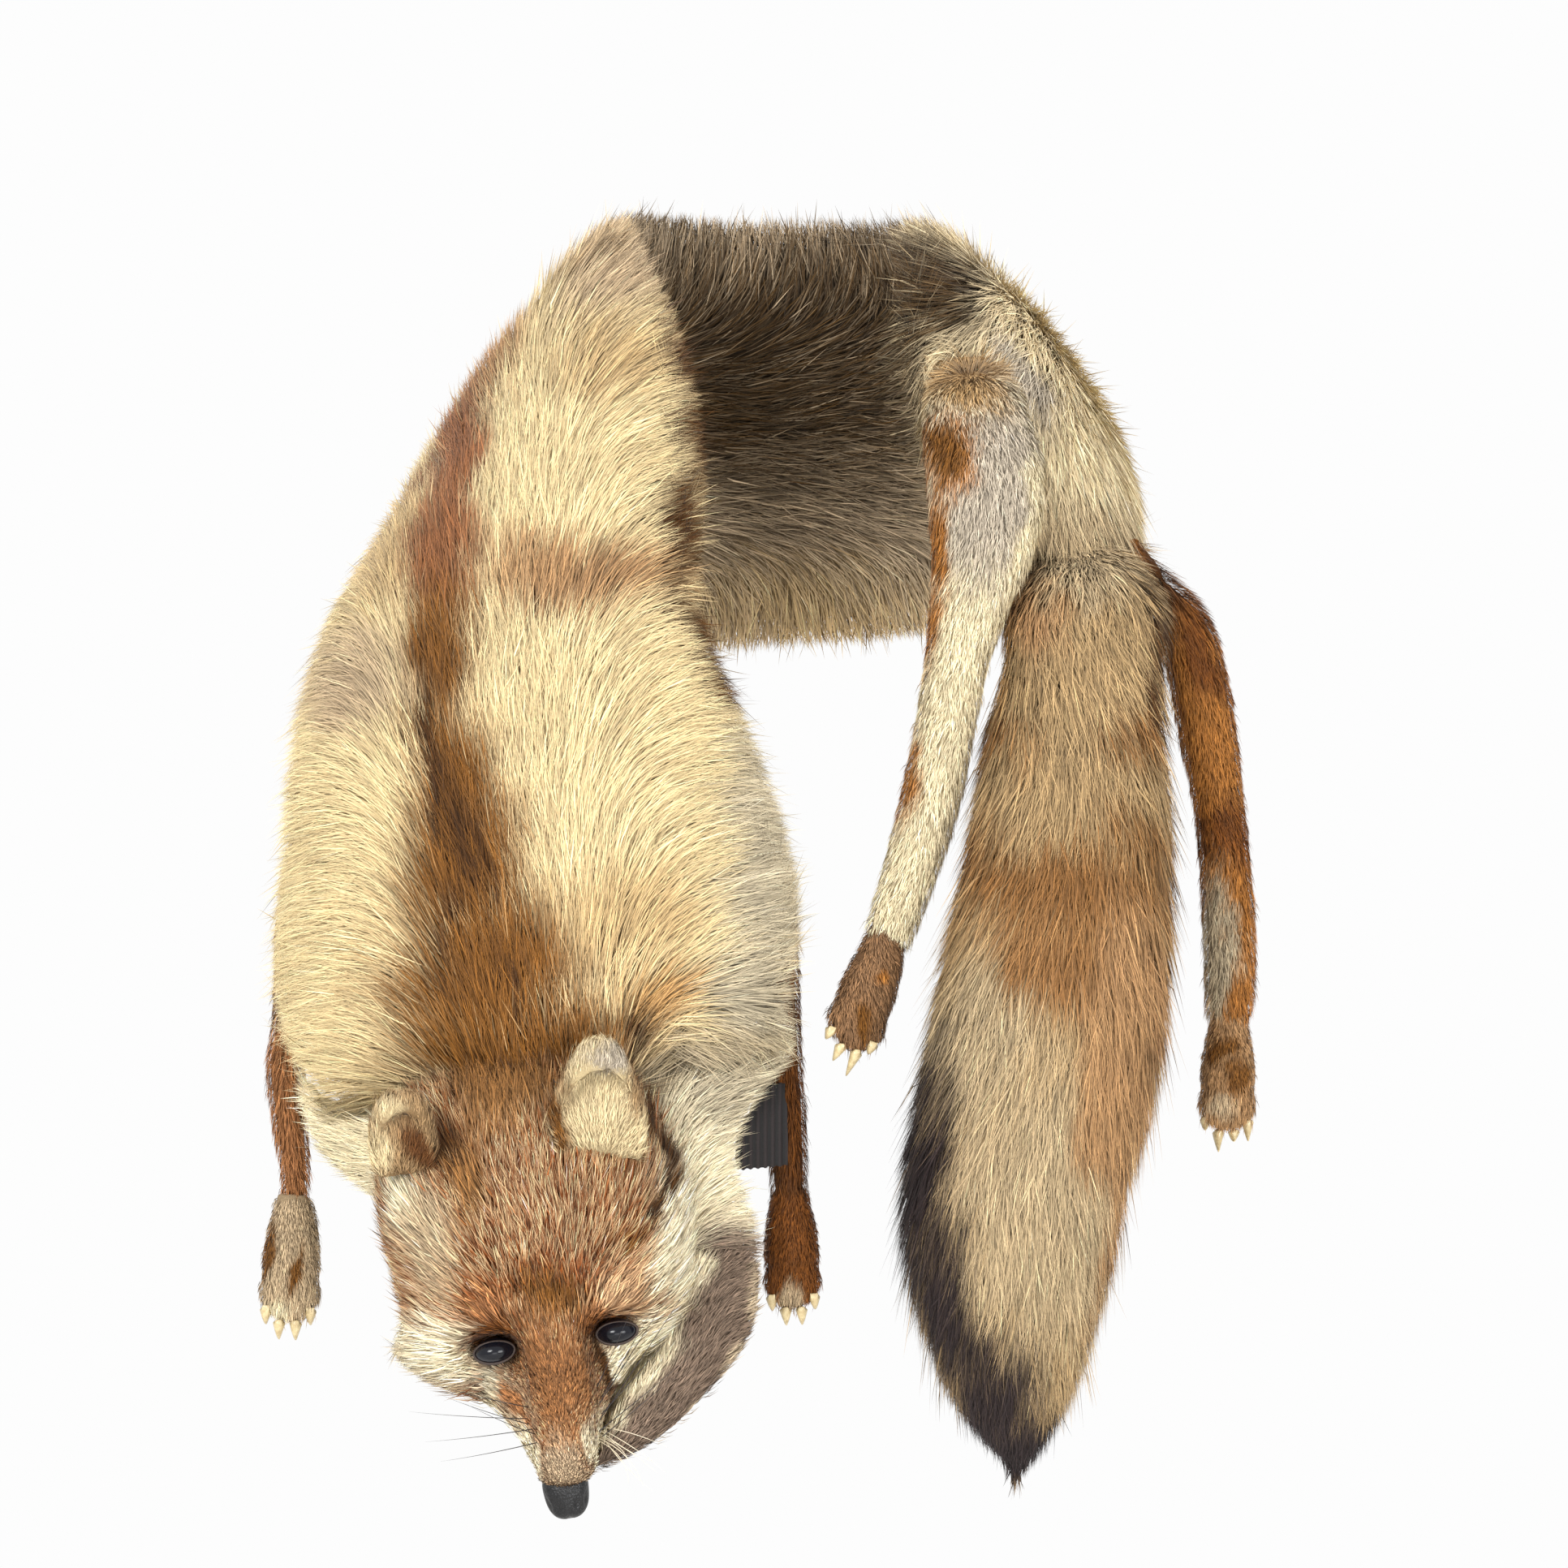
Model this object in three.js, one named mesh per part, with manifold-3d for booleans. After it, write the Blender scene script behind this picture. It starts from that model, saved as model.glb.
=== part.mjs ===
// A whole red fox skin made up as a stole and worn round the neck: body, head, four legs and tail.
// Millimetres, +Z up. The wearer faces -Y, and the origin is where the stole rests on the nape.
// Every solid reaches as far as the tips of its fur.
import * as THREE from "three";
import { mergeVertices } from "three/addons/utils/BufferGeometryUtils.js";
import Module from "manifold-3d";

const wasm = await Module();
wasm.setup();

// Driving dimensions
const SEAM_GAP = 0.3;
const PELT_FULLNESS = 0.8;
const LIMB_FULLNESS = 0.92;
const SKULL_TILT = 9;
const EYE_RADIUS = 8;
const EYE_OPENING = 5.2;
const EYE_SPACING = 44.6;
const EYE_DOWN = 96;
const EAR_WALL = 2.5;
const EAR_CUP = 5;
const NOSE_WIDTH = 16.8;
const CLAW_LENGTH = 12;
const CLAW_RADIUS = 1.7;
const CLAW_TURN = Math.PI / 3;
const CLAW_TAPER = 0.85;
const LOOP_THICKNESS = 3;

// The colours are those of the fur at a distance.
const FINISHES = {
  golden_fur: { color: 0xd9b47c, roughness: 0.9, metalness: 0 },
  sand_fur: { color: 0xb39468, roughness: 0.9, metalness: 0 },
  rust_fur: { color: 0xa8672f, roughness: 0.9, metalness: 0 },
  cream_fur: { color: 0xe2d3b0, roughness: 0.9, metalness: 0 },
  brush_fur: { color: 0xc09a63, roughness: 0.9, metalness: 0 },
  paw_fur: { color: 0x9a7347, roughness: 0.9, metalness: 0 },
  grey_fur: { color: 0x9a8b7c, roughness: 0.8, metalness: 0 },
  eye_glass: { color: 0x14151a, roughness: 0.12, metalness: 0 },
  nose_leather: { color: 0x1c1c1e, roughness: 0.45, metalness: 0 },
  claw_horn: { color: 0xcdb98a, roughness: 0.35, metalness: 0 },
  elastic_cloth: { color: 0x2a2023, roughness: 0.85, metalness: 0 },
};

// A table is a list of rows of numbers under the names in its first row.
function table(columns, ...rows) {
  return rows.map((row) => Object.fromEntries(columns.map((name, i) => [name, row[i]])));
}

// The row at u, counted in rows from the first, on a smooth curve through all of them.
function rowAt(rows, u) {
  const last = rows.length - 1;
  const i = Math.max(0, Math.min(Math.floor(u), last - 1));
  const t = u - i;
  const [a, b, c, d] = [i - 1, i, i + 1, i + 2].map((k) => rows[Math.max(0, Math.min(k, last))]);
  const found = {};
  for (const name of Object.keys(b)) {
    const slopeB = (c[name] - a[name]) / 2;
    const slopeC = (d[name] - b[name]) / 2;
    found[name] =
      b[name] * (2 * t ** 3 - 3 * t ** 2 + 1) +
      slopeB * (t ** 3 - 2 * t ** 2 + t) +
      c[name] * (3 * t ** 2 - 2 * t ** 3) +
      slopeC * (t ** 3 - t ** 2);
  }
  return found;
}

// How far to each side of a row, in rows, the direction of a path is read.
const PATH_STEP = 0.02;

// A band of pelt: one cut across it for each row, from its edge at the neck to its outer edge.
// loft is its full thickness, and crown is how far its middle stands away from the wearer.
function bandSection(rows, u) {
  const edges = (at) => {
    const r = rowAt(rows, at);
    return [new THREE.Vector3(r.neckX, r.neckY, r.neckZ), new THREE.Vector3(r.outX, r.outY, r.outZ)];
  };
  const [neck, outer] = edges(u);
  const [neckOn, outerOn] = edges(u + PATH_STEP);
  const [neckBack, outerBack] = edges(u - PATH_STEP);
  const along = neckOn.add(outerOn).sub(neckBack).sub(outerBack).normalize();
  const across = outer.clone().sub(neck);
  const { loft, crown } = rowAt(rows, u);
  return {
    centre: neck.clone().add(outer).multiplyScalar(0.5),
    wide: across.clone().normalize(),
    out: new THREE.Vector3().crossVectors(along, across).normalize(),
    halfWide: across.length() / 2,
    halfDeep: loft / 2,
    crown,
    fullness: PELT_FULLNESS,
  };
}

// A leg, an ear or the tail: a cut square to its middle line for each row.
function limbSection(rows, u) {
  const middle = (at) => {
    const r = rowAt(rows, at);
    return new THREE.Vector3(r.x, r.y, r.z);
  };
  return cutAcross(rows, u, middle(u + PATH_STEP).sub(middle(u - PATH_STEP)).normalize());
}

// The skull and the muzzle: a level cut for each row.
function levelSection(rows, u) {
  return cutAcross(rows, u, new THREE.Vector3(0, 0, -1));
}

function cutAcross(rows, u, along) {
  const wide = new THREE.Vector3().crossVectors(along, new THREE.Vector3(0, 1, 0)).normalize();
  const row = rowAt(rows, u);
  return {
    centre: new THREE.Vector3(row.x, row.y, row.z),
    along,
    wide,
    out: new THREE.Vector3().crossVectors(along, wide).normalize(),
    halfWide: row.halfWide,
    halfDeep: row.halfDeep,
    crown: row.crown ?? 0,
    fullness: LIMB_FULLNESS,
  };
}

function ring(section, around, grow) {
  const rounded = (x) => Math.sign(x) * Math.abs(x) ** section.fullness;
  return Array.from({ length: around }, (_, k) => {
    const angle = (2 * Math.PI * k) / around;
    const c = rounded(Math.cos(angle));
    const s = rounded(Math.sin(angle));
    return section.centre
      .clone()
      .addScaledVector(section.wide, c * (section.halfWide + grow))
      .addScaledVector(section.out, s * (section.halfDeep + grow) + section.crown * (1 - c * c));
  });
}

// The closed surface through rings, with a flat cap on each end.
function skinRings(rings) {
  const around = rings[0].length;
  const points = rings.flat();
  const faces = [];
  for (let i = 0; i + 1 < rings.length; i++) {
    for (let k = 0; k < around; k++) {
      const a = i * around + k;
      const b = i * around + ((k + 1) % around);
      faces.push(a, b, b + around, a, b + around, a + around);
    }
  }
  for (const [ringIndex, turned] of [[0, true], [rings.length - 1, false]]) {
    const hub = points.length;
    const sum = rings[ringIndex].reduce((total, p) => total.add(p), new THREE.Vector3());
    points.push(sum.divideScalar(around));
    for (let k = 0; k < around; k++) {
      const a = ringIndex * around + k;
      const b = ringIndex * around + ((k + 1) % around);
      faces.push(hub, ...(turned ? [b, a] : [a, b]));
    }
  }
  const geometry = new THREE.BufferGeometry().setFromPoints(points);
  geometry.setIndex(faces);
  return facingOut(geometry);
}

// Turns every face round if the surface is inside out.
function facingOut(geometry) {
  const position = geometry.getAttribute("position");
  const index = geometry.index.array;
  const corner = (i) => new THREE.Vector3().fromBufferAttribute(position, index[i]);
  let volume = 0;
  for (let i = 0; i < index.length; i += 3) {
    volume += corner(i).dot(corner(i + 1).cross(corner(i + 2)));
  }
  if (volume < 0) {
    for (let i = 0; i < index.length; i += 3) {
      [index[i + 1], index[i + 2]] = [index[i + 2], index[i + 1]];
    }
  }
  return geometry;
}

// A loft from row "from" to row "to". grow makes it larger all round, for cutting room in a neighbour.
function loft(sectionOf, rows, { from = 0, to = rows.length - 1, steps, around, grow = 0, ends = 0 }) {
  const rings = [];
  for (let i = 0; i <= steps; i++) {
    rings.push(ring(sectionOf(rows, from + ((to - from) * i) / steps), around, grow));
  }
  if (ends) {
    rings.unshift(ring(pushed(sectionOf(rows, from), sectionOf, rows, from, -ends), around, grow));
    rings.push(ring(pushed(sectionOf(rows, to), sectionOf, rows, to, ends), around, grow));
  }
  return skinRings(rings);
}

// The section moved along its path by a distance.
function pushed(section, sectionOf, rows, u, distance) {
  const way = sectionOf(rows, u + PATH_STEP).centre.sub(sectionOf(rows, u - PATH_STEP).centre).normalize();
  section.centre.addScaledVector(way, distance);
  return section;
}

function solidOf(geometry) {
  const bare = geometry.index ? geometry.toNonIndexed() : geometry.clone();
  bare.deleteAttribute("normal");
  bare.deleteAttribute("uv");
  const merged = mergeVertices(bare, 1e-3);
  return new wasm.Manifold(
    new wasm.Mesh({
      numProp: 3,
      vertProperties: merged.getAttribute("position").array,
      triVerts: new Uint32Array(merged.index.array),
    }),
  );
}

function geometryOf(solid) {
  const mesh = solid.getMesh();
  const geometry = new THREE.BufferGeometry();
  geometry.setAttribute("position", new THREE.BufferAttribute(mesh.vertProperties, 3));
  geometry.setIndex(new THREE.BufferAttribute(mesh.triVerts, 1));
  return geometry;
}

// The shape with each cutter taken out of it. Only its largest body is kept.
function trimmed(geometry, ...cutters) {
  const cut = cutters.reduce((solid, cutter) => solid.subtract(solidOf(cutter)), solidOf(geometry));
  const bodies = cut.decompose().sort((a, b) => b.volume() - a.volume());
  return geometryOf(bodies[0]);
}

function joined(...geometries) {
  return geometryOf(geometries.map(solidOf).reduce((all, one) => all.add(one)));
}

function ellipsoid({ x = 0, y = 0, z = 0, halfX, halfY, halfZ, grow = 0, round = 12, high = 8 }) {
  const ball = new THREE.SphereGeometry(1, round, high);
  return geometryOf(solidOf(ball.scale(halfX + grow, halfY + grow, halfZ + grow).translate(x, y, z)));
}

const stole = new THREE.Group();

function add(name, geometry, finish, parent = stole) {
  const shaded = geometry.clone();
  shaded.computeVertexNormals();
  const mesh = new THREE.Mesh(shaded, new THREE.MeshStandardMaterial(FINISHES[finish]));
  mesh.name = name;
  parent.add(mesh);
}

// The body pelt runs from the ruff behind the ears, up the wearer's right side, round the nape
// and down the left side to the tail root.
const PELT = table(
  ["neckX", "neckY", "neckZ", "outX", "outY", "outZ", "loft", "crown"],
  [0, -184, -251, -163, -170, -277, 14, 10],
  [3, -186, -243, -171, -171, -269, 42, 14],
  [5, -184, -225, -181, -168, -254, 53, 16],
  [6, -178, -198, -187, -158, -234, 55, 18],
  [-1, -166, -165, -188, -148, -210, 53, 18],
  [-15, -152, -128, -187, -136, -184, 50, 18],
  [-31, -138, -88, -186, -122, -160, 48, 16],
  [-30, -124, -45, -183, -104, -136, 46, 14],
  [-34, -106, -5, -178, -84, -118, 44, 10],
  [-45, -82, 30, -171, -62, -106, 43, 3],
  [-59, -50, 61, -159, -36, -99, 42, 2],
  [-46, -18, 66, -136, 2, -104, 40, 2],
  [-25, -2, 66, -76, 36, -104, 40, 0],
  [0, 1, 66, 0, 51, -100, 40, 0],
  [24, -2, 66, 68, 38, -94, 40, 0],
  [41, -18, 64, 112, 6, -82, 42, 4],
  [47, -48, 60, 128, -34, -67, 44, 7],
  [46, -78, 40, 131, -62, -64, 44, 6],
  [46, -98, 12, 132, -86, -68, 42, 6],
  [50, -112, -18, 132, -104, -78, 38, 7],
  [60, -122, -46, 130, -118, -84, 34, 6],
);
const RUFF = 0;
const RIGHT_CREST = 10;
const LEFT_CREST = 16;
const TAIL_ROOT = PELT.length - 1;
const CREST_ROW_LENGTH = 45;
const SEAM_IN_ROWS = SEAM_GAP / 2 / CREST_ROW_LENGTH;

const THROAT = table(
  ["neckX", "neckY", "neckZ", "outX", "outY", "outZ", "loft", "crown"],
  [-8, -178, -333, -124, -172, -333, 14, 2],
  [-8, -177, -321, -136, -172, -321, 22, 4],
  [-13, -176, -306, -150, -172, -307, 26, 6],
  [-17, -176, -293, -165, -172, -298, 27, 7],
  [-15, -177, -280, -173, -171, -286, 28, 8],
  [-7, -178, -269, -177, -170, -277, 28, 8],
  [3, -180, -258, -178, -169, -271, 30, 8],
  [4, -181, -243, -178, -168, -262, 30, 8],
);

const chest = { from: RUFF, to: RIGHT_CREST - SEAM_IN_ROWS, steps: 20, around: 24 };
const nape = { from: RIGHT_CREST + SEAM_IN_ROWS, to: LEFT_CREST - SEAM_IN_ROWS, steps: 14, around: 24 };
const rump = { from: LEFT_CREST + SEAM_IN_ROWS, to: TAIL_ROOT, steps: 9, around: 24 };
const room = { grow: SEAM_GAP, ends: SEAM_GAP };

const chestRoom = loft(bandSection, PELT, { ...chest, ...room });
const rumpRoom = loft(bandSection, PELT, { ...rump, ...room });
const throatShape = { steps: 9, around: 20 };
const throatRoom = loft(bandSection, THROAT, { ...throatShape, ...room });

function addPelt() {
  add("pelt_chest", loft(bandSection, PELT, chest), "golden_fur");
  add("pelt_nape", loft(bandSection, PELT, nape), "sand_fur");
  add("pelt_rump", loft(bandSection, PELT, rump), "sand_fur");
  add("pelt_throat", trimmed(loft(bandSection, THROAT, throatShape), chestRoom), "cream_fur");
}

// The head is built in its own frame: the nose points along -Z, the forehead faces -Y, and the
// frame's origin is the crown, between the ears.
const headFrame = new THREE.Group();
headFrame.position.set(-102.6, -203, -261.2);
headFrame.rotation.set(0, THREE.MathUtils.degToRad(-SKULL_TILT), 0);
headFrame.updateMatrixWorld(true);
stole.add(headFrame);

const SKULL = table(
  ["x", "y", "z", "halfWide", "halfDeep"],
  [4, 4, 2, 34, 18],
  [3, 2, -12, 47, 26],
  [4, 0, -34, 56, 32],
  [6, 0, -56, 57, 34],
  [4.5, 2, -78, 53.5, 31],
  [-1, 5, -95, 53, 25],
  [-1, 8, -109, 37, 19],
  [0, 9, -121, 22, 16],
  [1, 9, -133, 14, 14],
  [1, 9, -144, 8, 11],
);
const MUZZLE = table(
  ["x", "y", "z", "halfWide", "halfDeep"],
  [5, -8, -60, 19, 20],
  [6, -11, -80, 17, 21],
  [6, -12, -96, 15.5, 20],
  [5, -10, -112, 14, 17.5],
  [3.5, -7, -130, 12, 15],
  [1.2, -5, -147, 8.4, 11],
);
const NOSE = { y: -4, z: -153, halfX: NOSE_WIDTH / 2, halfY: 8.5, halfZ: 7 };
const EYE = { halfX: EYE_RADIUS, halfY: EYE_RADIUS, halfZ: EYE_OPENING };
const EYE_MIDDLE = 5.6;
const BROW_ABOVE_EYE = 10;
const BROW = { halfX: 13, halfY: 8, halfZ: 9 };

function eyePlace(side) {
  return { x: EYE_MIDDLE + (side * EYE_SPACING) / 2, y: -15, z: -EYE_DOWN };
}

function headShape(grow) {
  const skull = loft(levelSection, SKULL, { steps: 13, around: 24, grow, ends: grow });
  const muzzle = loft(levelSection, MUZZLE, { steps: 7, around: 14, grow, ends: grow });
  const brows = [-1, 1].map((side) => {
    const eye = eyePlace(side);
    return ellipsoid({ ...eye, ...BROW, z: eye.z + BROW_ABOVE_EYE, grow, round: 8, high: 6 });
  });
  return joined(skull, muzzle, ...brows);
}

function inHeadFrame(geometry) {
  return geometry.clone().applyMatrix4(headFrame.matrixWorld.clone().invert());
}

function outOfHeadFrame(geometry) {
  return geometry.clone().applyMatrix4(headFrame.matrixWorld);
}

function eyeball(side, grow) {
  return ellipsoid({ ...eyePlace(side), ...EYE, grow });
}

function nosePad(grow) {
  return ellipsoid({ ...NOSE, grow, round: 14, high: 8 });
}

// An ear is a cup of skin with fur on both sides. It stands out from the crown, open to the front.
const EARS = {
  right: table(
    ["x", "y", "z", "halfWide", "halfDeep", "crown"],
    [-38, -22, -28, 11, 8, 2],
    [-37, -27, -18, 12.5, 8, 2],
    [-36, -29, -8, 10.5, 7.5, 1],
    [-35.5, -27, 1, 6, 5, 0],
  ),
  left: table(
    ["x", "y", "z", "halfWide", "halfDeep", "crown"],
    [32, -25, -34, 16, 9, 2],
    [33, -31, -22, 18, 9, 3],
    [35, -33, -10, 16, 8.5, 2],
    [37, -31, 1, 10, 7, 1],
    [38.5, -28, 9, 4, 4, 0],
  ),
};

function addHead() {
  const mask = trimmed(
    headShape(0),
    inHeadFrame(throatRoom),
    inHeadFrame(chestRoom),
    eyeball(-1, SEAM_GAP),
    eyeball(1, SEAM_GAP),
    nosePad(SEAM_GAP),
  );
  add("head_mask", mask, "rust_fur", headFrame);
  add("eye_right", eyeball(-1, 0), "eye_glass", headFrame);
  add("eye_left", eyeball(1, 0), "eye_glass", headFrame);
  add("nose", nosePad(0), "nose_leather", headFrame);
  for (const [side, rows] of Object.entries(EARS)) {
    const shape = { steps: 8, around: 14 };
    const ear = loft(limbSection, rows, shape);
    const hollow = loft(limbSection, rows, { ...shape, grow: -EAR_WALL }).translate(0, -EAR_CUP, -EAR_CUP);
    add(`ear_${side}`, trimmed(ear, hollow, headShape(SEAM_GAP), inHeadFrame(chestRoom)), "cream_fur", headFrame);
  }
}

// The jaw and chin flap lies behind the mask, and its edge shows past the cheek.
const JAW = table(
  ["neckX", "neckY", "neckZ", "outX", "outY", "outZ", "loft", "crown"],
  [-69, -193, -406, -80, -194, -405, 7, 0],
  [-53, -191, -397, -84, -192, -398, 13, 0],
  [-41, -188, -387, -92, -190, -387, 16, 1],
  [-29, -185, -375, -100, -187, -375, 18, 2],
  [-15, -182, -362, -108, -184, -361, 19, 3],
  [-9, -179, -348, -114, -180, -347, 20, 4],
  [-8, -178, -331, -120, -176, -331, 20, 4],
);

function addJaw() {
  const jaw = loft(bandSection, JAW, { steps: 9, around: 16 });
  const headRoom = outOfHeadFrame(headShape(SEAM_GAP));
  add("jaw_flap", trimmed(jaw, headRoom, throatRoom), "grey_fur");
}

// The tail hangs from the rump over the wearer's left breast.
const TAIL = table(
  ["x", "y", "z", "halfWide", "halfDeep"],
  [99, -120, -62, 24, 13],
  [108, -130, -78, 34, 22],
  [112, -140, -102, 33, 27],
  [108, -152, -135, 37, 30],
  [105.5, -165, -170, 40, 32],
  [101, -178, -210, 44, 34],
  [95, -188, -250, 46, 35],
  [86.5, -192, -285, 44, 35],
  [82.5, -192, -315, 43, 33],
  [82, -190, -345, 36, 28],
  [83.5, -187, -372, 25, 20],
  [85, -184, -392, 12.5, 11],
  [84, -183, -406, 4.5, 5],
  [83.5, -182, -415, 1.5, 1.5],
);
const tail = { steps: 24, around: 18 };
const tailRoom = loft(limbSection, TAIL, { ...tail, ...room });

function addTail() {
  add("tail", trimmed(loft(limbSection, TAIL, tail), rumpRoom), "brush_fur");
}

// Each leg hangs from the pelt by its thigh or shoulder and ends at the wrist, where the paw starts.
const LEGS = {
  hindleg_right: {
    finish: "cream_fur",
    pawScale: 0.98,
    rows: table(
      ["x", "y", "z", "halfWide", "halfDeep"],
      [70, -112, 6, 14, 9],
      [70, -130, -10, 19, 13],
      [72, -142, -26, 22, 14],
      [75, -150, -45, 23.5, 14],
      [73, -152, -70, 20, 13],
      [66, -154, -98, 14, 12],
      [61, -157, -125, 12.5, 11],
      [56.5, -160, -150, 12.5, 11],
      [50, -163, -175, 12, 10],
      [43.5, -166, -196, 11, 9],
      [38, -168, -211, 10.5, 8],
    ),
  },
  hindleg_left: {
    finish: "rust_fur",
    pawScale: 0.95,
    soleOut: true,
    rows: table(
      ["x", "y", "z", "halfWide", "halfDeep"],
      [138, -110, -66, 7, 8],
      [143.5, -116, -80, 8.5, 10],
      [153, -116, -105, 12, 12],
      [158.5, -117, -135, 12, 11],
      [163, -120, -165, 10.5, 10],
      [165.5, -123, -195, 11, 10],
      [166.5, -125, -220, 11, 9],
      [166, -126, -242, 10, 8.5],
    ),
  },
  foreleg_right: {
    finish: "rust_fur",
    pawScale: 1,
    rows: table(
      ["x", "y", "z", "halfWide", "halfDeep"],
      [-158, -128, -165, 10, 8],
      [-172, -124, -182, 12, 9],
      [-181.5, -124, -208, 9.5, 9],
      [-183, -128, -240, 8.5, 9],
      [-185.5, -131, -256, 8.5, 8.5],
      [-184.5, -133, -272, 8.5, 8],
      [-183, -134, -288, 7.5, 7.5],
      [-181.5, -134.5, -300, 6.4, 7],
      [-182, -135, -310, 6.6, 6.5],
    ),
  },
  foreleg_left: {
    finish: "rust_fur",
    pawScale: 0.95,
    rows: table(
      ["x", "y", "z", "halfWide", "halfDeep"],
      [-24, -150, -150, 10, 8],
      [-14, -146, -170, 11, 9],
      [-6, -146, -190, 9.5, 9],
      [-2.5, -147, -215, 9, 9],
      [-1, -149, -245, 8.5, 9],
      [0.5, -150, -272, 8.5, 8.5],
      [1.5, -151, -292, 8.3, 8],
      [2, -151, -306, 8.3, 8],
    ),
  },
};

// A paw in its own frame: the wrist is at the origin, the toes point along -Z, and the back of the
// paw faces -Y. It has four toes with a claw on each.
const PAW = table(
  ["x", "y", "z", "halfWide", "halfDeep"],
  [0, 0, 0, 7.5, 7],
  [0, 0, -10, 10, 9],
  [0, 0, -21, 11.5, 9.5],
  [0, 0, -31, 11, 8.5],
  [0, 0, -37, 8, 6.5],
);
const TOES = table(
  ["x", "y", "z", "halfWide", "halfDeep", "halfLong"],
  [-8.3, 0, -33, 4, 5.5, 8],
  [-3.1, -1.5, -37, 4, 6, 8.5],
  [3.1, -1.5, -37, 4, 6, 8.5],
  [8.3, 0, -33, 4, 5.5, 8],
);

function pawShape(grow) {
  const palm = loft(limbSection, PAW, { steps: 4, around: 8, grow, ends: grow });
  const toes = TOES.map((toe) =>
    ellipsoid({
      ...toe,
      halfX: toe.halfWide,
      halfY: toe.halfDeep,
      halfZ: toe.halfLong,
      grow,
      round: 6,
      high: 5,
    }),
  );
  return joined(palm, ...toes);
}

// A claw is a thin bent cone, from inside the toe's end to its tip.
function claw(toe) {
  const radius = CLAW_LENGTH / CLAW_TURN;
  const start = new THREE.Vector3(toe.x, toe.y - 1.5, toe.z - toe.halfLong + 3);
  const steps = 3;
  const rings = Array.from({ length: steps + 1 }, (_, i) => {
    const share = i / steps;
    const bend = share * CLAW_TURN;
    const size = CLAW_RADIUS * (1 - CLAW_TAPER * share);
    const centre = start.clone().add(
      new THREE.Vector3(0, radius * (1 - Math.cos(bend)), -radius * Math.sin(bend)),
    );
    const section = {
      centre,
      wide: new THREE.Vector3(1, 0, 0),
      out: new THREE.Vector3(0, -Math.cos(bend), -Math.sin(bend)),
      halfWide: size,
      halfDeep: size * 1.2,
      crown: 0,
      fullness: 1,
    };
    return ring(section, 6, 0);
  });
  return skinRings(rings);
}

function addLeg(name, { finish, pawScale, soleOut, rows }) {
  const shape = { steps: Math.ceil(1.5 * (rows.length - 1)), around: 12 };
  const leg = trimmed(loft(limbSection, rows, shape), chestRoom, rumpRoom, throatRoom, tailRoom);
  add(name, leg, finish);
  const wrist = limbSection(rows, rows.length - 1);
  const pawFrame = new THREE.Group();
  const back = wrist.out.clone().negate();
  const basis = new THREE.Matrix4().makeBasis(wrist.wide, back, wrist.along.clone().negate());
  pawFrame.quaternion.setFromRotationMatrix(basis);
  pawFrame.position.copy(wrist.centre).addScaledVector(wrist.along, SEAM_GAP);
  if (soleOut) pawFrame.rotateZ(Math.PI);
  pawFrame.scale.setScalar(pawScale);
  stole.add(pawFrame);
  add(name.replace("leg", "paw"), pawShape(0), "paw_fur", pawFrame);
  TOES.forEach((toe, i) => {
    const nail = trimmed(claw(toe), pawShape(SEAM_GAP));
    add(`${name.replace("leg", "claw")}_${i + 1}`, nail, "claw_horn", pawFrame);
  });
}

// The elastic loop is a flat ribbed band that goes from the throat to the inner foreleg.
const LOOP = table(
  ["neckX", "neckY", "neckZ", "outX", "outY", "outZ", "loft", "crown"],
  [2, -170, -295, -22, -174, -297, LOOP_THICKNESS, 1],
  [2, -170, -281, -22, -174, -281, LOOP_THICKNESS, 1],
  [1, -171, -264, -22, -175, -264, LOOP_THICKNESS, 1],
);

function addLoop() {
  const band = loft(bandSection, LOOP, { steps: 6, around: 12 });
  add("elastic_loop", trimmed(band, throatRoom, chestRoom), "elastic_cloth");
}

addPelt();
addHead();
addJaw();
addTail();
Object.entries(LEGS).forEach(([name, leg]) => addLeg(name, leg));
addLoop();

export default stole;
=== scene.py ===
import math

import bmesh
import bpy
import numpy as np
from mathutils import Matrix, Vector, bvhtree, kdtree


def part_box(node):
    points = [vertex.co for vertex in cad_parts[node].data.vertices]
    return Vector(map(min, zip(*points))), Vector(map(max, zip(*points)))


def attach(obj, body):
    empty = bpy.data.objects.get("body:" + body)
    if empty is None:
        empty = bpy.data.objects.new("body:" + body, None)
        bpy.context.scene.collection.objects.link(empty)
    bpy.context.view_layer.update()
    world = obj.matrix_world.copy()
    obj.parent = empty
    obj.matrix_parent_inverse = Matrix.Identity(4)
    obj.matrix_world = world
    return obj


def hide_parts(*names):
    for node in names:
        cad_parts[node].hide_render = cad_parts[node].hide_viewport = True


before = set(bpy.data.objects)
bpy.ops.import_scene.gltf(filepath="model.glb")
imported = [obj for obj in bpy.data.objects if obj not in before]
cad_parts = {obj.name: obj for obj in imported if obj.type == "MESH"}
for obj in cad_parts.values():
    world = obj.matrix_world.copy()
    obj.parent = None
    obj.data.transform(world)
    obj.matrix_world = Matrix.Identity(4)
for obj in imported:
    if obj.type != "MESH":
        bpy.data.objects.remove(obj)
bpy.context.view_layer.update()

# The camera stands level, 2.65 m in front of the neck, as a product photographer's would.
PHOTO_WIDTH_PX = 1932
MM_PER_PX = 0.3
CAMERA_DISTANCE_MM = 2500
camera = bpy.data.objects.new("camera", bpy.data.cameras.new("camera"))
bpy.context.scene.collection.objects.link(camera)
camera.data.sensor_width = 36
camera.data.lens = camera.data.sensor_width * CAMERA_DISTANCE_MM / (PHOTO_WIDTH_PX * MM_PER_PX)
camera.location = (0, -2.65, -0.1548)
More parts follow.
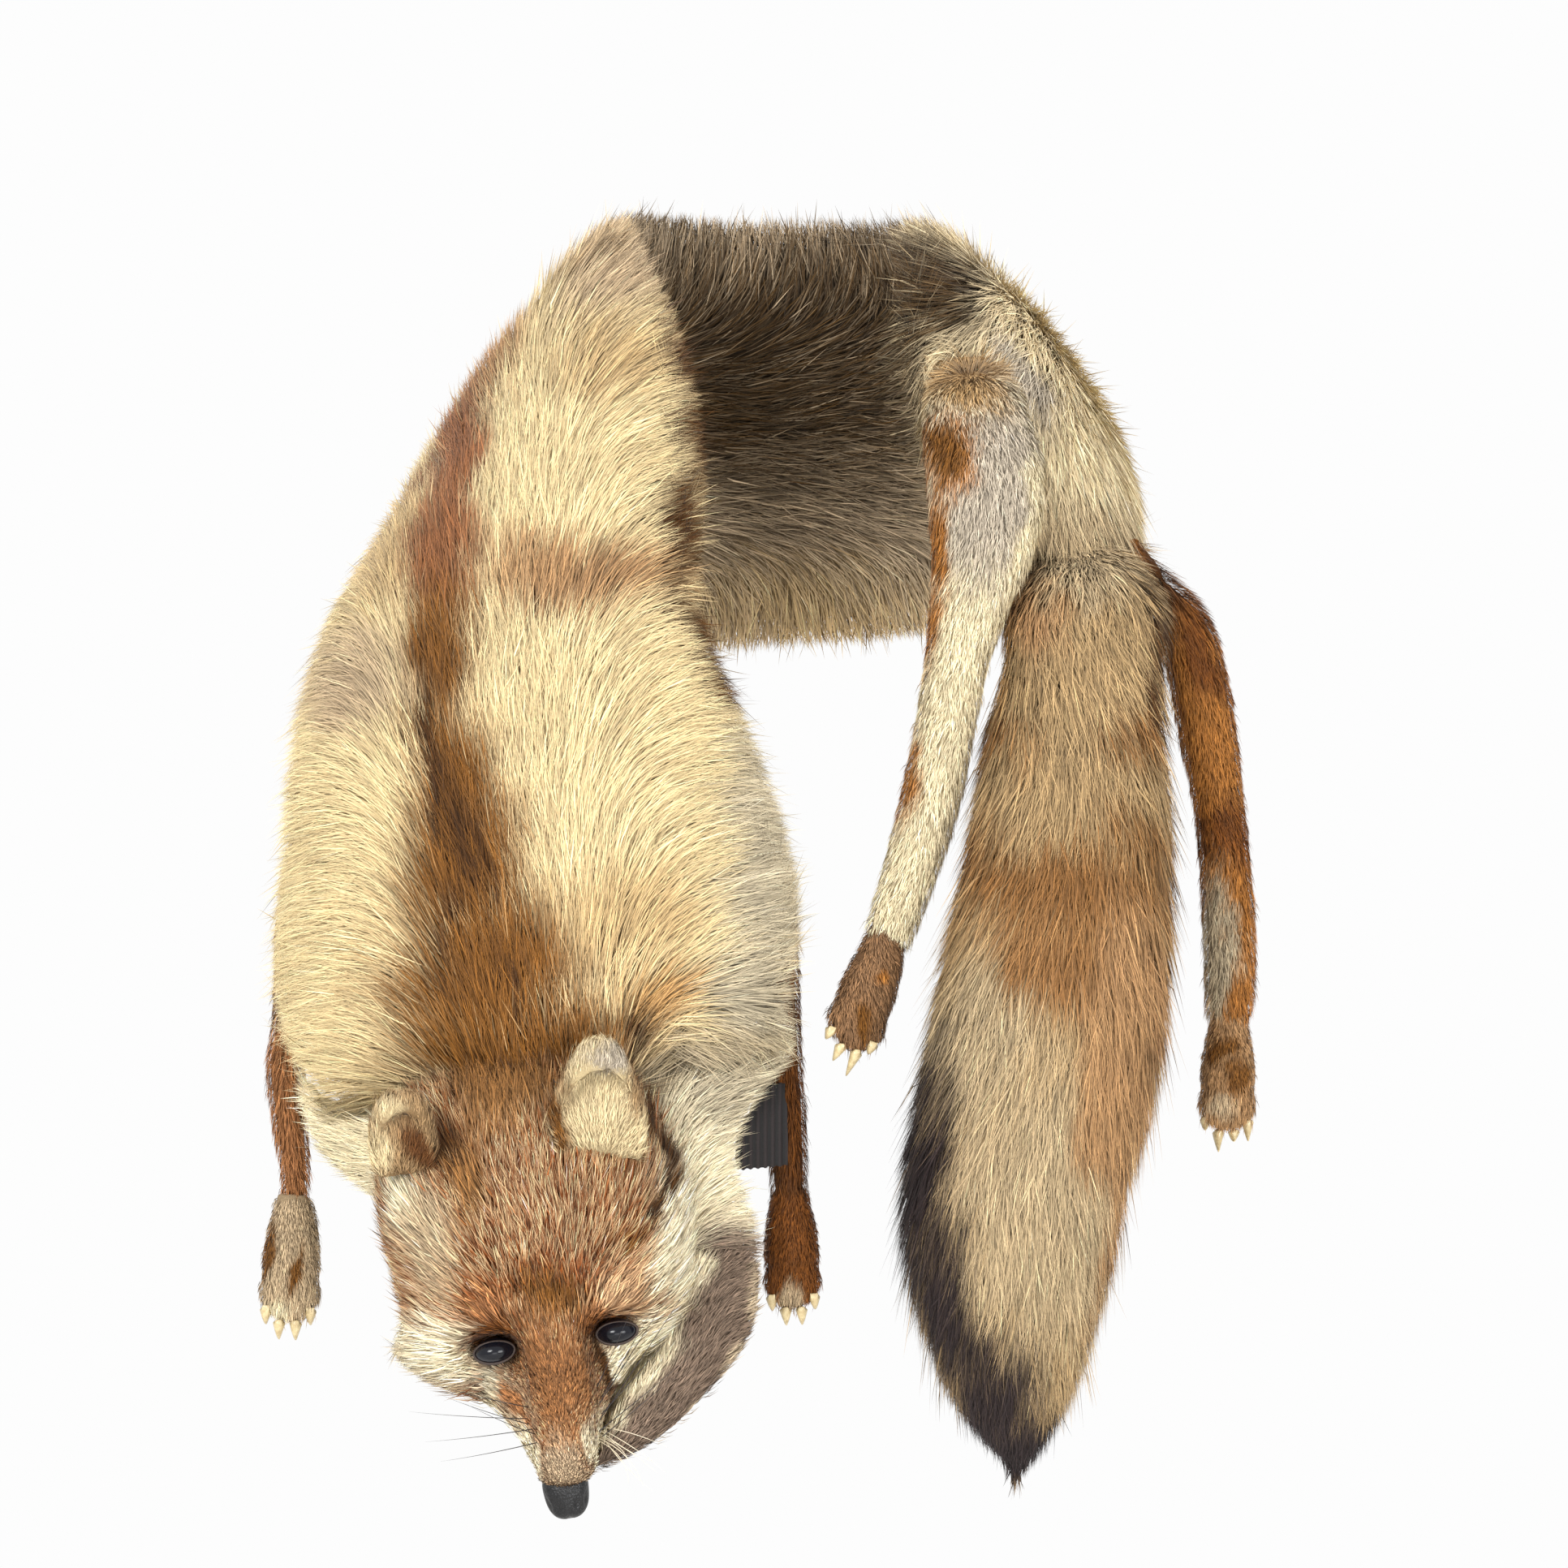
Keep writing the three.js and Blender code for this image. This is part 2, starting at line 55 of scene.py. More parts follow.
camera.rotation_euler = (math.radians(90), 0, 0)
bpy.context.scene.camera = camera

# The chest pelt: the fox's back and right side, from the ruff behind the ears up to the top of the
# shoulder. One tanned skin, sewn to a flat tube with the fur outside, so that both faces are furred.
MM = 0.001


def colour(hex_text):
    """A colour in linear light from its sRGB hex value."""
    parts = [int(hex_text[i:i + 2], 16) / 255 for i in (0, 2, 4)]
    return [c / 12.92 if c <= 0.04045 else ((c + 0.055) / 1.055) ** 2.4 for c in parts]


def add_node(tree, kind, settings=None, links=None):
    """Adds a shader node, sets its fields and sockets, and links its inputs."""
    made = tree.nodes.new(kind)
    for name, value in (settings or {}).items():
        if isinstance(name, str) and hasattr(made, name):
            setattr(made, name, value)
        else:
            made.inputs[name].default_value = value
    for name, source in (links or {}).items():
        tree.links.new(source, made.inputs[name])
    return made


def unit(vectors):
    return vectors / np.maximum(np.linalg.norm(vectors, axis=1, keepdims=True), 1e-9)


def soft_noise(points, size, seed):
    """A smooth random value near -1 to 1 at each point, with patches of about that size in mm."""
    rng = np.random.default_rng(seed)
    total = np.zeros(len(points))
    for _ in range(8):
        wave = rng.normal(size=3)
        wave *= math.pi / size * rng.uniform(0.6, 1.5) / np.linalg.norm(wave)
        total += np.sin(points @ wave + rng.uniform(0, 2 * math.pi))
    return total / 3.2


def normals_of(points, triangles):
    a, b, c = (points[triangles[:, i]] for i in range(3))
    faces = np.cross(b - a, c - a)
    total = np.zeros_like(points)
    for i in range(3):
        for axis in range(3):
            total[:, axis] += np.bincount(triangles[:, i], faces[:, axis], len(points))
    return unit(total)


def relaxed(points, edges, share, times):
    """Each point moved part of the way to the middle of its neighbours."""
    near = np.bincount(edges.ravel(), minlength=len(points))[:, None]
    for _ in range(times):
        total = np.zeros_like(points)
        for axis in range(3):
            total[:, axis] += np.bincount(edges[:, 0], points[edges[:, 1], axis], len(points))
            total[:, axis] += np.bincount(edges[:, 1], points[edges[:, 0], axis], len(points))
        points = points + share * (total / near - points)
    return points


def along(line, points):
    """At each point, the way of the nearest stretch of a line, and how far out from the line the point
    is as a share of its half width. Each row of the line is x, y, z and half width, in mm."""
    line = np.array(line, float)
    total, middle, half, shares = 0, 0, 0, 0
    for start, end in zip(line[:-1], line[1:]):
        step = end[:3] - start[:3]
        t = np.clip((points - start[:3]) @ step / (step @ step), 0, 1)[:, None]
        near = start[:3] + t * step
        share = 1 / (np.linalg.norm(points - near, axis=1)[:, None] ** 2 + 25) ** 3
        total = total + share * step / np.linalg.norm(step)
        middle = middle + share * near
        half = half + share * (start[3] + t * (end[3] - start[3]))
        shares = shares + share
    return unit(total), (points - middle / shares) / (half / shares)


def voxelled(mesh, cell):
    """The mesh made anew in even cells of that size in mm, with parts that meet joined to one."""
    rough = bpy.data.objects.new("rough", mesh)
    bpy.context.scene.collection.objects.link(rough)
    remesh = rough.modifiers.new("even", "REMESH")
    remesh.mode = "VOXEL"
    remesh.voxel_size = cell * MM
    made = bpy.data.meshes.new_from_object(rough.evaluated_get(bpy.context.evaluated_depsgraph_get()))
    bpy.data.objects.remove(rough)
    points = np.empty(len(made.vertices) * 3)
    made.vertices.foreach_get("co", points)
    made.calc_loop_triangles()
    triangles = np.empty(len(made.loop_triangles) * 3, np.int64)
    made.loop_triangles.foreach_get("vertices", triangles)
    return made, points.reshape(-1, 3) / MM, triangles.reshape(-1, 3)


def skin_under(node, fur_depth, cell, even_out=8, sculpt=None, line=None):
    """The bare skin: the solid's surface drawn in by the depth of its fur, in mm, but not along its
    line, so that it still meets its neighbours end to end.
    Gives the mesh, its points, triangles and normals, and how deep the fur is over each point."""
    mesh, outer, triangles = voxelled(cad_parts[node].data.copy(), cell)
    edges = np.empty(len(mesh.edges) * 2, np.int64)
    mesh.edges.foreach_get("vertices", edges)
    edges = edges.reshape(-1, 2)
    outer = relaxed(outer, edges, 0.5, even_out)
    if sculpt:
        outer = outer + sculpt(outer, normals_of(outer, triangles))
    inner = outer.copy()
    depth = fur_depth(outer) if callable(fur_depth) else np.full(len(outer), float(fur_depth))
    steps = max(2, math.ceil(depth.max() / 1.5))
    way = along(line, outer)[0] if line else np.zeros_like(outer)
    for _ in range(steps):
        step = normals_of(inner, triangles) * depth[:, None] / steps
        inner = inner - step + way * np.sum(way * step, axis=1, keepdims=True)
        drawn = relaxed(inner, edges, 0.35, 1) - inner
        inner = inner + drawn - way * np.sum(way * drawn, axis=1, keepdims=True)
    mesh.vertices.foreach_set("co", (inner * MM).ravel())
    mesh.shade_smooth()
    mesh.update()
    reach = np.linalg.norm(outer - inner, axis=1)
    return {
        "mesh": mesh,
        "points": inner,
        "triangles": triangles,
        "normals": normals_of(inner, triangles),
        "depth": np.clip(reach, depth, 2.2 * depth),
    }


# Each coat is the colour of the hair along its shaft and at its tip. Every hair is darker at the root.
COATS = {
    "pale_gold": ("d5bf91", "f7dea9"),
    "gold": ("b69b6f", "edcb92"),
    "beige": ("ae9b80", "ecd2ae"),
    "sand": ("ab9576", "dec29b"),
    "tan": ("95724d", "ca9c6a"),
    "tan_brown": ("75512a", "a7743f"),
    "orange": ("a88251", "dbaa6c"),
    "orange_tan": ("7e5932", "b27f4a"),
    "mahogany": ("7a4d2c", "ad7042"),
    "brown": ("674115", "996324"),
    "dark_brown": ("3c2307", "643d11"),
    "belly": ("aa9e85", "e6d6b5"),
    "white": ("eedfbd", "f7e8c4"),
    "grey_white": ("a19278", "dac7a3"),
    "silver": ("a69a88", "e0d1ba"),
    "grey_leg": ("907e63", "c3ac88"),
    "cream": ("d8c9a5", "f7e6be"),
    "puff": ("9c7c51", "d3a970"),
    "orange_hip": ("5e3208", "874a11"),
    "ear_pale": ("cab78f", "f4dcad"),
    "ear_edge": ("947854", "c19d70"),
    "rust": ("65390f", "91541a"),
    "hip_brown": ("533112", "72461d"),
    "paw": ("7c5c3e", "a97e57"),
    "mauve_grey": ("726051", "9b8470"),
    "bridge": ("79502d", "ac7443"),
    "nose_end": ("9d876c", "d5b893"),
    "brush_dark": ("201818", "392d2d"),
    "brow": ("906039", "c48451"),
    "peach": ("bd9770", "f6c593"),
    "light_sand": ("d6c39d", "f7e1b6"),
    "fox_orange": ("935f29", "c8833b"),
    "tail_tan": ("937a56", "cfad7b"),
    # A near-black brown, laid only as painted shade in the hollow between the collar and the neck.
    "collar_hollow_shade": ("35240b", "5a3f19"),
    "pale_tail": ("9c896a", "ddc297"),
    "frosted_brown": ("713a10", "f6d3a0"),
}


def coat_of(base, marks, ragged=1.0):
    """A coat of one colour with soft-edged marks on it. A mark has its coat, its middle and its half
    sizes in mm, and how far it leans to the left at the top, in degrees, seen from the front."""
    def shades_at(points):
        stray = 0.14 * np.random.default_rng(len(points)).normal(size=len(points))
        wander = np.stack([soft_noise(points, 22, 11 + i) for i in range(3)], axis=1)
        fine = np.stack([soft_noise(points, 5, 31 + i) for i in range(3)], axis=1)
        at = points + ragged * (3.5 * wander + 1.5 * fine)
        shades = [np.tile(colour(text), (len(points), 1)) for text in COATS[base]]
        for name, x, y, z, half_x, half_y, half_z, lean in marks:
            turn = math.radians(lean)
            across, up = at[:, 0] - x, at[:, 2] - z
            far = np.sqrt(
                ((across * math.cos(turn) + up * math.sin(turn)) / half_x) ** 2
                + ((up * math.cos(turn) - across * math.sin(turn)) / half_z) ** 2
                + ((at[:, 1] - y) / half_y) ** 2
            )
            share = np.clip((1.45 - far - stray) / 0.9, 0, 1)
            share = (share * share * (3 - 2 * share))[:, None]
            shades = [s + share * (np.array(colour(t)) - s) for s, t in zip(shades, COATS[name])]
        return shades[0] * (0.3 + 0.5 * shades[0]), *shades
    return shades_at


def paint(mesh, shades):
    """Gives each point of a mesh its colour."""
    painted = mesh.attributes.new("coat", "FLOAT_COLOR", "POINT")
    rgba = np.ones((len(shades), 4), np.float32)
    rgba[:, :3] = np.clip(shades, 0, 1)
    painted.data.foreach_set("color", rgba.ravel())


def combed(line, splay):
    """The way the hair lies: along a line, and outward from it by a share of the way."""
    def comb(points, normals):
        way, out = along(line, points)
        return way + splay * out
    return comb


def outline_of(words):
    """The outline that the fur keeps to: the named solids as one, and the way out from each face."""
    form = bmesh.new()
    for node in sorted(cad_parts):
        if any(word in node for word in words) and "claw" not in node:
            form.from_mesh(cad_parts[node].data)
    joined = bpy.data.meshes.new("outline")
    form.to_mesh(joined)
    form.free()
    _, points, triangles = voxelled(joined, 3)
    tree = bvhtree.BVHTree.FromPolygons(points.tolist(), triangles.tolist())
    return tree, normals_of(points, triangles)[triangles].mean(axis=1)


TAIL_END = outline_of(("pelt_nape", "pelt_rump", "hind", "tail"))
HEAD_END = outline_of(("pelt_", "head", "ear_", "jaw", "fore"))


def grow_fur(name, skin, comb, coat, count, lay, lengths, width, seed, wild=0.05, pull=0.22, thick=None,
             reach=1.5, mixed=0.24):
    """Tapered flat hairs, bent once, rooted all over a skin and lying along comb. lay is a hair's
    length as a share of the fur's depth, pull is how far the tips draw into tufts, thick how dense the
    fur is from place to place, reach how far its tips stand out of the solids, in mm, and mixed how
    much one hair differs from the next in tone."""
    rng = np.random.default_rng(seed)
    points, triangles = skin["points"], skin["triangles"]
    a, b, c = (points[triangles[:, i]] for i in range(3))
    area = np.linalg.norm(np.cross(b - a, c - a), axis=1)
    if thick:
        area = area * thick((a + b + c) / 3, skin["normals"][triangles[:, 0]])
    total = np.cumsum(area)
    pick = np.searchsorted(total, (np.arange(count) + rng.random(count)) / count * total[-1])
    pick = np.minimum(pick, len(triangles) - 1)
    u, v = rng.random((2, count))
    u, v = np.where(u + v > 1, 1 - u, u), np.where(u + v > 1, 1 - v, v)
    shares = np.stack([1 - u - v, u, v], axis=1)

    def spread(values):
        return sum(shares[:, i].reshape([-1] + [1] * (values.ndim - 1)) * values[triangles[pick, i]]
                   for i in range(3))

    root, up, depth = spread(points), unit(spread(skin["normals"])), spread(skin["depth"])
    flow = comb(root, up)
    flow = unit(flow - up * np.sum(flow * up, axis=1, keepdims=True))
    side = np.cross(flow, up)
    drift = 0.1 * soft_noise(root, 16, seed + 1) + 0.24 * rng.normal(size=count)
    flow = unit(flow + drift[:, None] * side)
    side = np.cross(flow, up)
    long = np.clip(lay * depth, *lengths) * rng.uniform(0.7, 1.15, count)
    high = depth * rng.uniform(0.45, 1.0, count) + 0.3
    far = rng.random(count) < wild
    high = np.where(far, high * 1.4 + 0.5, high)
    middle = root + flow * (0.42 * long)[:, None] + up * (0.68 * high)[:, None]
    tip = root + flow * long[:, None] + up * high[:, None]

    leaders = rng.permutation(count)[:count // 8]
    tufts = kdtree.KDTree(len(leaders))
    for i, leader in enumerate(leaders):
        tufts.insert(middle[leader], i)
    tufts.balance()
    leader = leaders[[tufts.find(p)[1] for p in middle]]
    near = (np.linalg.norm(root - root[leader], axis=1) < 0.5 * long)[:, None]
    tip = tip + near * pull * (tip[leader] - tip)
    middle = middle + near * 0.45 * pull * (middle[leader] - middle)
    outline, outward = TAIL_END if name.startswith(("pelt_rump", "hind", "tail")) else HEAD_END
    limit = reach * rng.uniform(0, 1, count) + np.where(far, 2 * reach, 0)
    for i, point in enumerate(tip):
        at, _, face, away = outline.find_nearest(point)
        over = point - np.array(at)
        if away > limit[i] and over @ outward[face] > 0:
            back = over * (1 - limit[i] / away)
            tip[i] = tip[i] - back
            middle[i] = middle[i] - 0.4 * back

    roll = rng.uniform(-0.9, 0.9, count)[:, None]
    across = side * np.cos(roll) + up * np.sin(roll)
    half = (0.5 * width * rng.uniform(0.7, 1.3, count))[:, None]
    rows = [root - 0.4 * up, middle - across * half, middle + across * half, tip]
    facing = unit(up + 0.18 * rng.normal(size=(count, 3)) + 0.15 * flow)
    shine = [facing, facing - 0.55 * across, facing + 0.55 * across, facing + 0.3 * flow]
    under, shaft, end = coat(0.5 * middle + 0.5 * tip)
    tone = np.exp(mixed * rng.normal(size=count) + 0.08 * rng.normal(size=count)[leader]
                  + 0.06 * soft_noise(root, 9, seed + 2) - mixed ** 2 / 2)[:, None]
    end = shaft + (end - shaft) * (0.1 + 1.3 * rng.uniform(0, 1, count)[:, None] ** 1.4)
    shades = [under * tone, shaft * tone, shaft * tone, end * tone]

    mesh = bpy.data.meshes.new(name)
    mesh.vertices.add(4 * count)
    mesh.vertices.foreach_set("co", (np.stack(rows, axis=1) * MM).astype(np.float32).ravel())
    corners = np.array([0, 2, 1, 1, 2, 3])
    mesh.loops.add(6 * count)
    mesh.loops.foreach_set("vertex_index", (corners + 4 * np.arange(count)[:, None]).astype(np.int32).ravel())
    mesh.polygons.add(2 * count)
    mesh.polygons.foreach_set("loop_start", np.arange(0, 6 * count, 3, dtype=np.int32))
    mesh.update(calc_edges=True)
    mesh.shade_smooth()
    paint(mesh, np.stack(shades, axis=1).reshape(-1, 3))
    mesh.normals_split_custom_set_from_vertices(unit(np.stack(shine, axis=1).reshape(-1, 3)))
    under, shaft, end = coat(points)
    paint(skin["mesh"], 0.3 * under + 0.5 * shaft)
    made = bpy.data.objects.new(name, mesh)
    bpy.context.scene.collection.objects.link(made)
    return made


# Fox guard hair: keratin with a scaly cuticle, dull from the side and with a soft gloss along the hair.
fox_hair = bpy.data.materials.new("fox_hair")
fox_hair.use_nodes = True
tree = fox_hair.node_tree
tree.nodes.clear()
painted = add_node(tree, "ShaderNodeVertexColor", {"layer_name": "coat"})
place = add_node(tree, "ShaderNodeTexCoord")
cuticle = add_node(tree, "ShaderNodeTexNoise", {"Scale": 1 / (3 * MM), "Detail": 3.0}, {"Vector": place.outputs["Object"]})
worn = add_node(tree, "ShaderNodeMapRange", {"To Min": 0.86, "To Max": 1.14}, {"Value": cuticle.outputs["Fac"]})
hue = add_node(tree, "ShaderNodeHueSaturation", {}, {"Color": painted.outputs["Color"], "Value": worn.outputs["Result"]})
shader = add_node(
    tree, "ShaderNodeBsdfPrincipled",
    {"Roughness": 0.6, "IOR": 1.5, "Specular IOR Level": 0.2, "Sheen Weight": 0.05, "Sheen Roughness": 0.5},
    {"Base Color": hue.outputs["Color"]},
)
add_node(tree, "ShaderNodeOutputMaterial", {}, {"Surface": shader.outputs["BSDF"]})

# Tanned fox skin seen between the hairs: matt leather under a fine wool of underfur, in the coat's colour.
underfur = bpy.data.materials.new("tanned_skin_with_underfur")
underfur.use_nodes = True
tree = underfur.node_tree
tree.nodes.clear()
place = add_node(tree, "ShaderNodeTexCoord")
wool = add_node(tree, "ShaderNodeTexNoise", {"Scale": 1 / (0.7 * MM), "Detail": 4.0}, {"Vector": place.outputs["Object"]})
fluff = add_node(tree, "ShaderNodeMapRange", {"To Min": 0.45, "To Max": 1.35}, {"Value": wool.outputs["Fac"]})
painted = add_node(tree, "ShaderNodeVertexColor", {"layer_name": "coat"})
hue = add_node(tree, "ShaderNodeHueSaturation", {}, {"Color": painted.outputs["Color"], "Value": fluff.outputs["Result"]})
grain = add_node(tree, "ShaderNodeBump", {"Strength": 0.6, "Distance": 0.4 * MM}, {"Height": wool.outputs["Fac"]})
shader = add_node(
    tree, "ShaderNodeBsdfPrincipled", {"Roughness": 0.9, "Specular IOR Level": 0.2},
    {"Base Color": hue.outputs["Color"], "Normal": grain.outputs["Normal"]},
)
add_node(tree, "ShaderNodeOutputMaterial", {}, {"Surface": shader.outputs["BSDF"]})


def put_on(node, skin, fur, flat=None):
    """The skin with its fur, standing for its solid. With a flat cut, in mm, it is a tube or sheet of
    leather, and without one it is a stuffed piece."""
    leather = bpy.data.objects.new(node + "_skin", skin["mesh"])
    bpy.context.scene.collection.objects.link(leather)
    leather.data.materials.clear()
    leather.data.materials.append(underfur)
    fur.data.materials.append(fox_hair)
    for piece in (leather, fur):
        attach(piece, "root")
    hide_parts(node)
    if not flat:
        return
    wall = leather.modifiers.new("leather", "SOLIDIFY")
    wall.thickness = 1 * MM
    wall.offset = -1


# The line down the fox's back, from the crown to the tail's tip: x, y, z and half width, in mm.
BACK_LINE = [
    (-88, -186, -335, 60), (-82, -180, -264, 85), (-91, -172, -216, 92), (-101, -150, -156, 88),
    (-106, -124, -90, 80), (-108, -86, -38, 78), (-109, -43, -19, 85), (-91, -8, -19, 88), (-50, 17, -19, 88),
    (0, 26, -17, 88), (46, 18, -14, 86), (76, -6, -9, 84), (87, -41, -3, 76), (89, -70, -12, 62),
    (89, -92, -28, 55), (91, -112, -48, 45), (97, -126, -70, 34), (108, -152, -135, 37), (101, -178, -210, 44),
    (86, -192, -285, 44), (83, -187, -372, 25), (83, -182, -415, 6),
]
CHEST_MARKS = [
    ("sand", -64, -60, 47, 27, 400, 26, 0),
    ("tan", -111, -70, 9, 10, 400, 19, -30),
    ("gold", -64, -70, 5, 24, 400, 14, 0),
    ("gold", -149, -120, -68, 13, 400, 30, -22),
    ("tan", -74, -140, -75, 42, 400, 12, -4),
    ("mahogany", -124, -110, -27, 11, 400, 30, -10),
    ("mahogany", -128, -130, -68, 13, 400, 30, -3),
    ("brown", -126, -150, -105, 14, 400, 26, 6),
    ("sand", -159, -150, -117, 20, 400, 18, 0),
    ("brown", -122, -170, -150, 18, 400, 26, 3),
    ("brown", -117, -190, -182, 27, 400, 30, 4),
    ("brown", -108, -200, -222, 42, 400, 26, 12),
    ("brown", -96, -200, -250, 52, 400, 18, 0),
    ("dark_brown", -130, -190, -146, 4, 400, 34, 3),
    ("dark_brown", -118, -190, -172, 3, 400, 24, 12),
    ("dark_brown", -108, -190, -180, 3, 400, 18, 20),
    ("dark_brown", -126, -200, -206, 2, 400, 18, -10),
    ("dark_brown", -100, -200, -226, 2, 400, 12, 30),
    # The small dark brown spot behind the left ear is painted shadow.
    ("dark_brown", -53, -200, -240, 4, 400, 6, 0),
    ("gold", -54, -200, -200, 23, 400, 19, 0),
    ("orange", -41, -200, -229, 17, 400, 8, 8),
    ("belly", -7, -180, -181, 14, 400, 55, 4),
    ("belly", -9, -180, -233, 16, 400, 26, 0),
    ("grey_white", -25, -190, -255, 23, 400, 11, 0),
    # The dark brown strip down the inner edge, beside the neck, is painted shade of the fold there.
    ("dark_brown", -41, -60, 33, 8, 400, 22, 14),
    ("dark_brown", -34, -80, 2, 8, 400, 22, 12),
    ("dark_brown", -32, -100, -24, 8, 400, 16, 0),
    ("dark_brown", -35, -120, -58, 8, 400, 22, -8),
    ("dark_brown", -31, -140, -97, 7, 400, 18, 24),
    ("dark_brown", -20, -150, -118, 6, 400, 13, 36),
]


def on_fur_side(line, start=True, end=True):
    """Fewer hairs where the pelt lies against the wearer, and none on the named ends, where it meets
    its neighbours."""
    def density(points, normals):
        facing = np.sum(along(line, points)[0] * normals, axis=1)
        thin = np.where(normals[:, 1] > 0.35, 0.4, 1)
        return np.where((start & (facing < -0.5)) | (end & (facing > 0.6)), 0, thin)
    return density


def lengthened(line, by):
    """Draws both ends of a skin out along its line, so that they meet their neighbours."""
    def push(points, normals):
        way = along(line, points)[0]
        return by * way * np.sum(way * normals, axis=1, keepdims=True)
    return push


def chest_comb(points, normals):
    """Along the back, but downward at the belly's lower corner, over the throat."""
    falls = (np.clip((-226 - points[:, 2]) / 16, 0, 1) * np.clip((points[:, 0] + 62) / 20, 0, 1))[:, None]
    return unit(combed(BACK_LINE, 0.45)(points, normals)) * (1 - falls) + falls * (0.75, -0.2, -0.7)


chest_skin = skin_under("pelt_chest", 8, 5.5, sculpt=lengthened(BACK_LINE, 3), line=BACK_LINE)
chest_fur = grow_fur("pelt_chest_fur", chest_skin, chest_comb, coat_of("pale_gold", CHEST_MARKS),
                     78000, 3.6, (4, 28), 0.4, 1, thick=on_fur_side(BACK_LINE, False, False), reach=3)
put_on("pelt_chest", chest_skin, chest_fur, (350, 305))

# The nape: the middle of the same skin, round the back of the neck. Its outer side shows the fox's
# sandy flank and the stripe of its back. Its inner side, which lies on the wearer, is darkened with
# painted shade, for the hollow between the collar and the neck.
NAPE_MARKS = [
    # The first two marks, near-black brown, are painted shade in that hollow.
    ("collar_hollow_shade", 0, -25, -10, 85, 45, 95, 0),
    ("collar_hollow_shade", 48, -40, 8, 32, 34, 46, 0),
    ("mahogany", -50, 60, 10, 95, 30, 15, 0),
    ("tan_brown", -50, 60, -20, 95, 30, 30, 0),
    ("gold", 0, 60, -80, 150, 34, 22, 0),
    ("tan", -130, -40, -40, 40, 60, 90, 0),
    ("light_sand", 105, -20, 10, 44, 60, 70, 0),
]
nape_skin = skin_under("pelt_nape", 8, 6, sculpt=lengthened(BACK_LINE, 4), line=BACK_LINE)
nape_fur = grow_fur("pelt_nape_fur", nape_skin, combed(BACK_LINE, 0.6), coat_of("beige", NAPE_MARKS),
                    36000, 3.2, (4, 24), 0.52, 2, reach=3,
                    thick=lambda points, normals: on_fur_side(BACK_LINE, True, False)(points, normals) > 0)
put_on("pelt_nape", nape_skin, nape_fur, (335, 270))

# The rump: the narrow end of the skin, over the wearer's left collar bone to the tail's root.
RUMP_MARKS = [
    # The two near-black brown marks by the neck are painted shade in the hollow between the collar and the neck.
    ("collar_hollow_shade", 56, -60, 31, 20, 60, 28, 20),
    ("collar_hollow_shade", 46, -60, -0, 14, 60, 28, 0),
    ("light_sand", 114, -60, 0, 20, 60, 70, 20),
    ("silver", 88, -110, -3, 9, 60, 21, 25),
    ("pale_tail", 98, -116, -68, 50, 60, 15, 0),
]
RUMP_LINE = [(46, 18, -14, 86), (76, -6, -9, 84), (87, -41, -3, 76), (89, -70, -12, 62), (89, -92, -28, 90),
             (92, -112, -48, 120), (98, -126, -90, 150), (104, -140, -130, 150)]
rump_skin = skin_under("pelt_rump", 7, 4.5, sculpt=lengthened(BACK_LINE, 3), line=BACK_LINE)
rump_fur = grow_fur("pelt_rump_fur", rump_skin, combed(RUMP_LINE, 0.6), coat_of("light_sand", RUMP_MARKS),
                    26000, 4.2, (4, 31), 0.42, 3, reach=3,
                    thick=on_fur_side(BACK_LINE, False, False))
put_on("pelt_rump", rump_skin, rump_fur, (225, 122))

# The throat: the pale skin of the fox's neck and cheeks, folded behind the head and tacked there.
THROAT_MARKS = [
    ("belly", -14, -180, -262, 22, 60, 16, 0),
    ("grey_white", -47, -180, -258, 9, 60, 16, 0),
    ("mauve_grey", -14, -180, -332, 18, 60, 17, 0),
    ("cream", -160, -180, -283, 14, 60, 20, 0),
]
throat_skin = skin_under("pelt_throat", 4, 4)
THROAT_LINE = [(-78, -186, -360, 60), (-82, -184, -300, 80), (-84, -180, -250, 90)]
throat_fur = grow_fur("pelt_throat_fur", throat_skin, combed(THROAT_LINE, 0.3), coat_of("white", THROAT_MARKS),
                      22000, 3.6, (4, 18), 0.38, 4, thick=on_fur_side(THROAT_LINE, False, False), reach=3)
put_on("pelt_throat", throat_skin, throat_fur, (290, 84))

# The head mask: the face skin stretched over a hard form, with short hair that runs from the nose up
# over the forehead and fans out to the cheeks.
HEAD_ORIGIN = np.array((-102.6, -203, -261.2))
HEAD_TILT = math.radians(-9)
EYE_MIDDLE, EYE_SIDE, EYE_DOWN = 5.6, 22.3, 96


def turned(points, angle):
    """Points or directions turned about the y axis."""
    x, z = points[:, 0], points[:, 2]
    return np.stack([x * math.cos(angle) + z * math.sin(angle), points[:, 1],
                     z * math.cos(angle) - x * math.sin(angle)], axis=1)


def in_head(points):
    """Points in the head's own frame: the nose points down z, and the forehead faces -y."""
    return turned(points - HEAD_ORIGIN, -HEAD_TILT)


def out_of_head(points):
    return turned(np.asarray(points, float), HEAD_TILT) + HEAD_ORIGIN


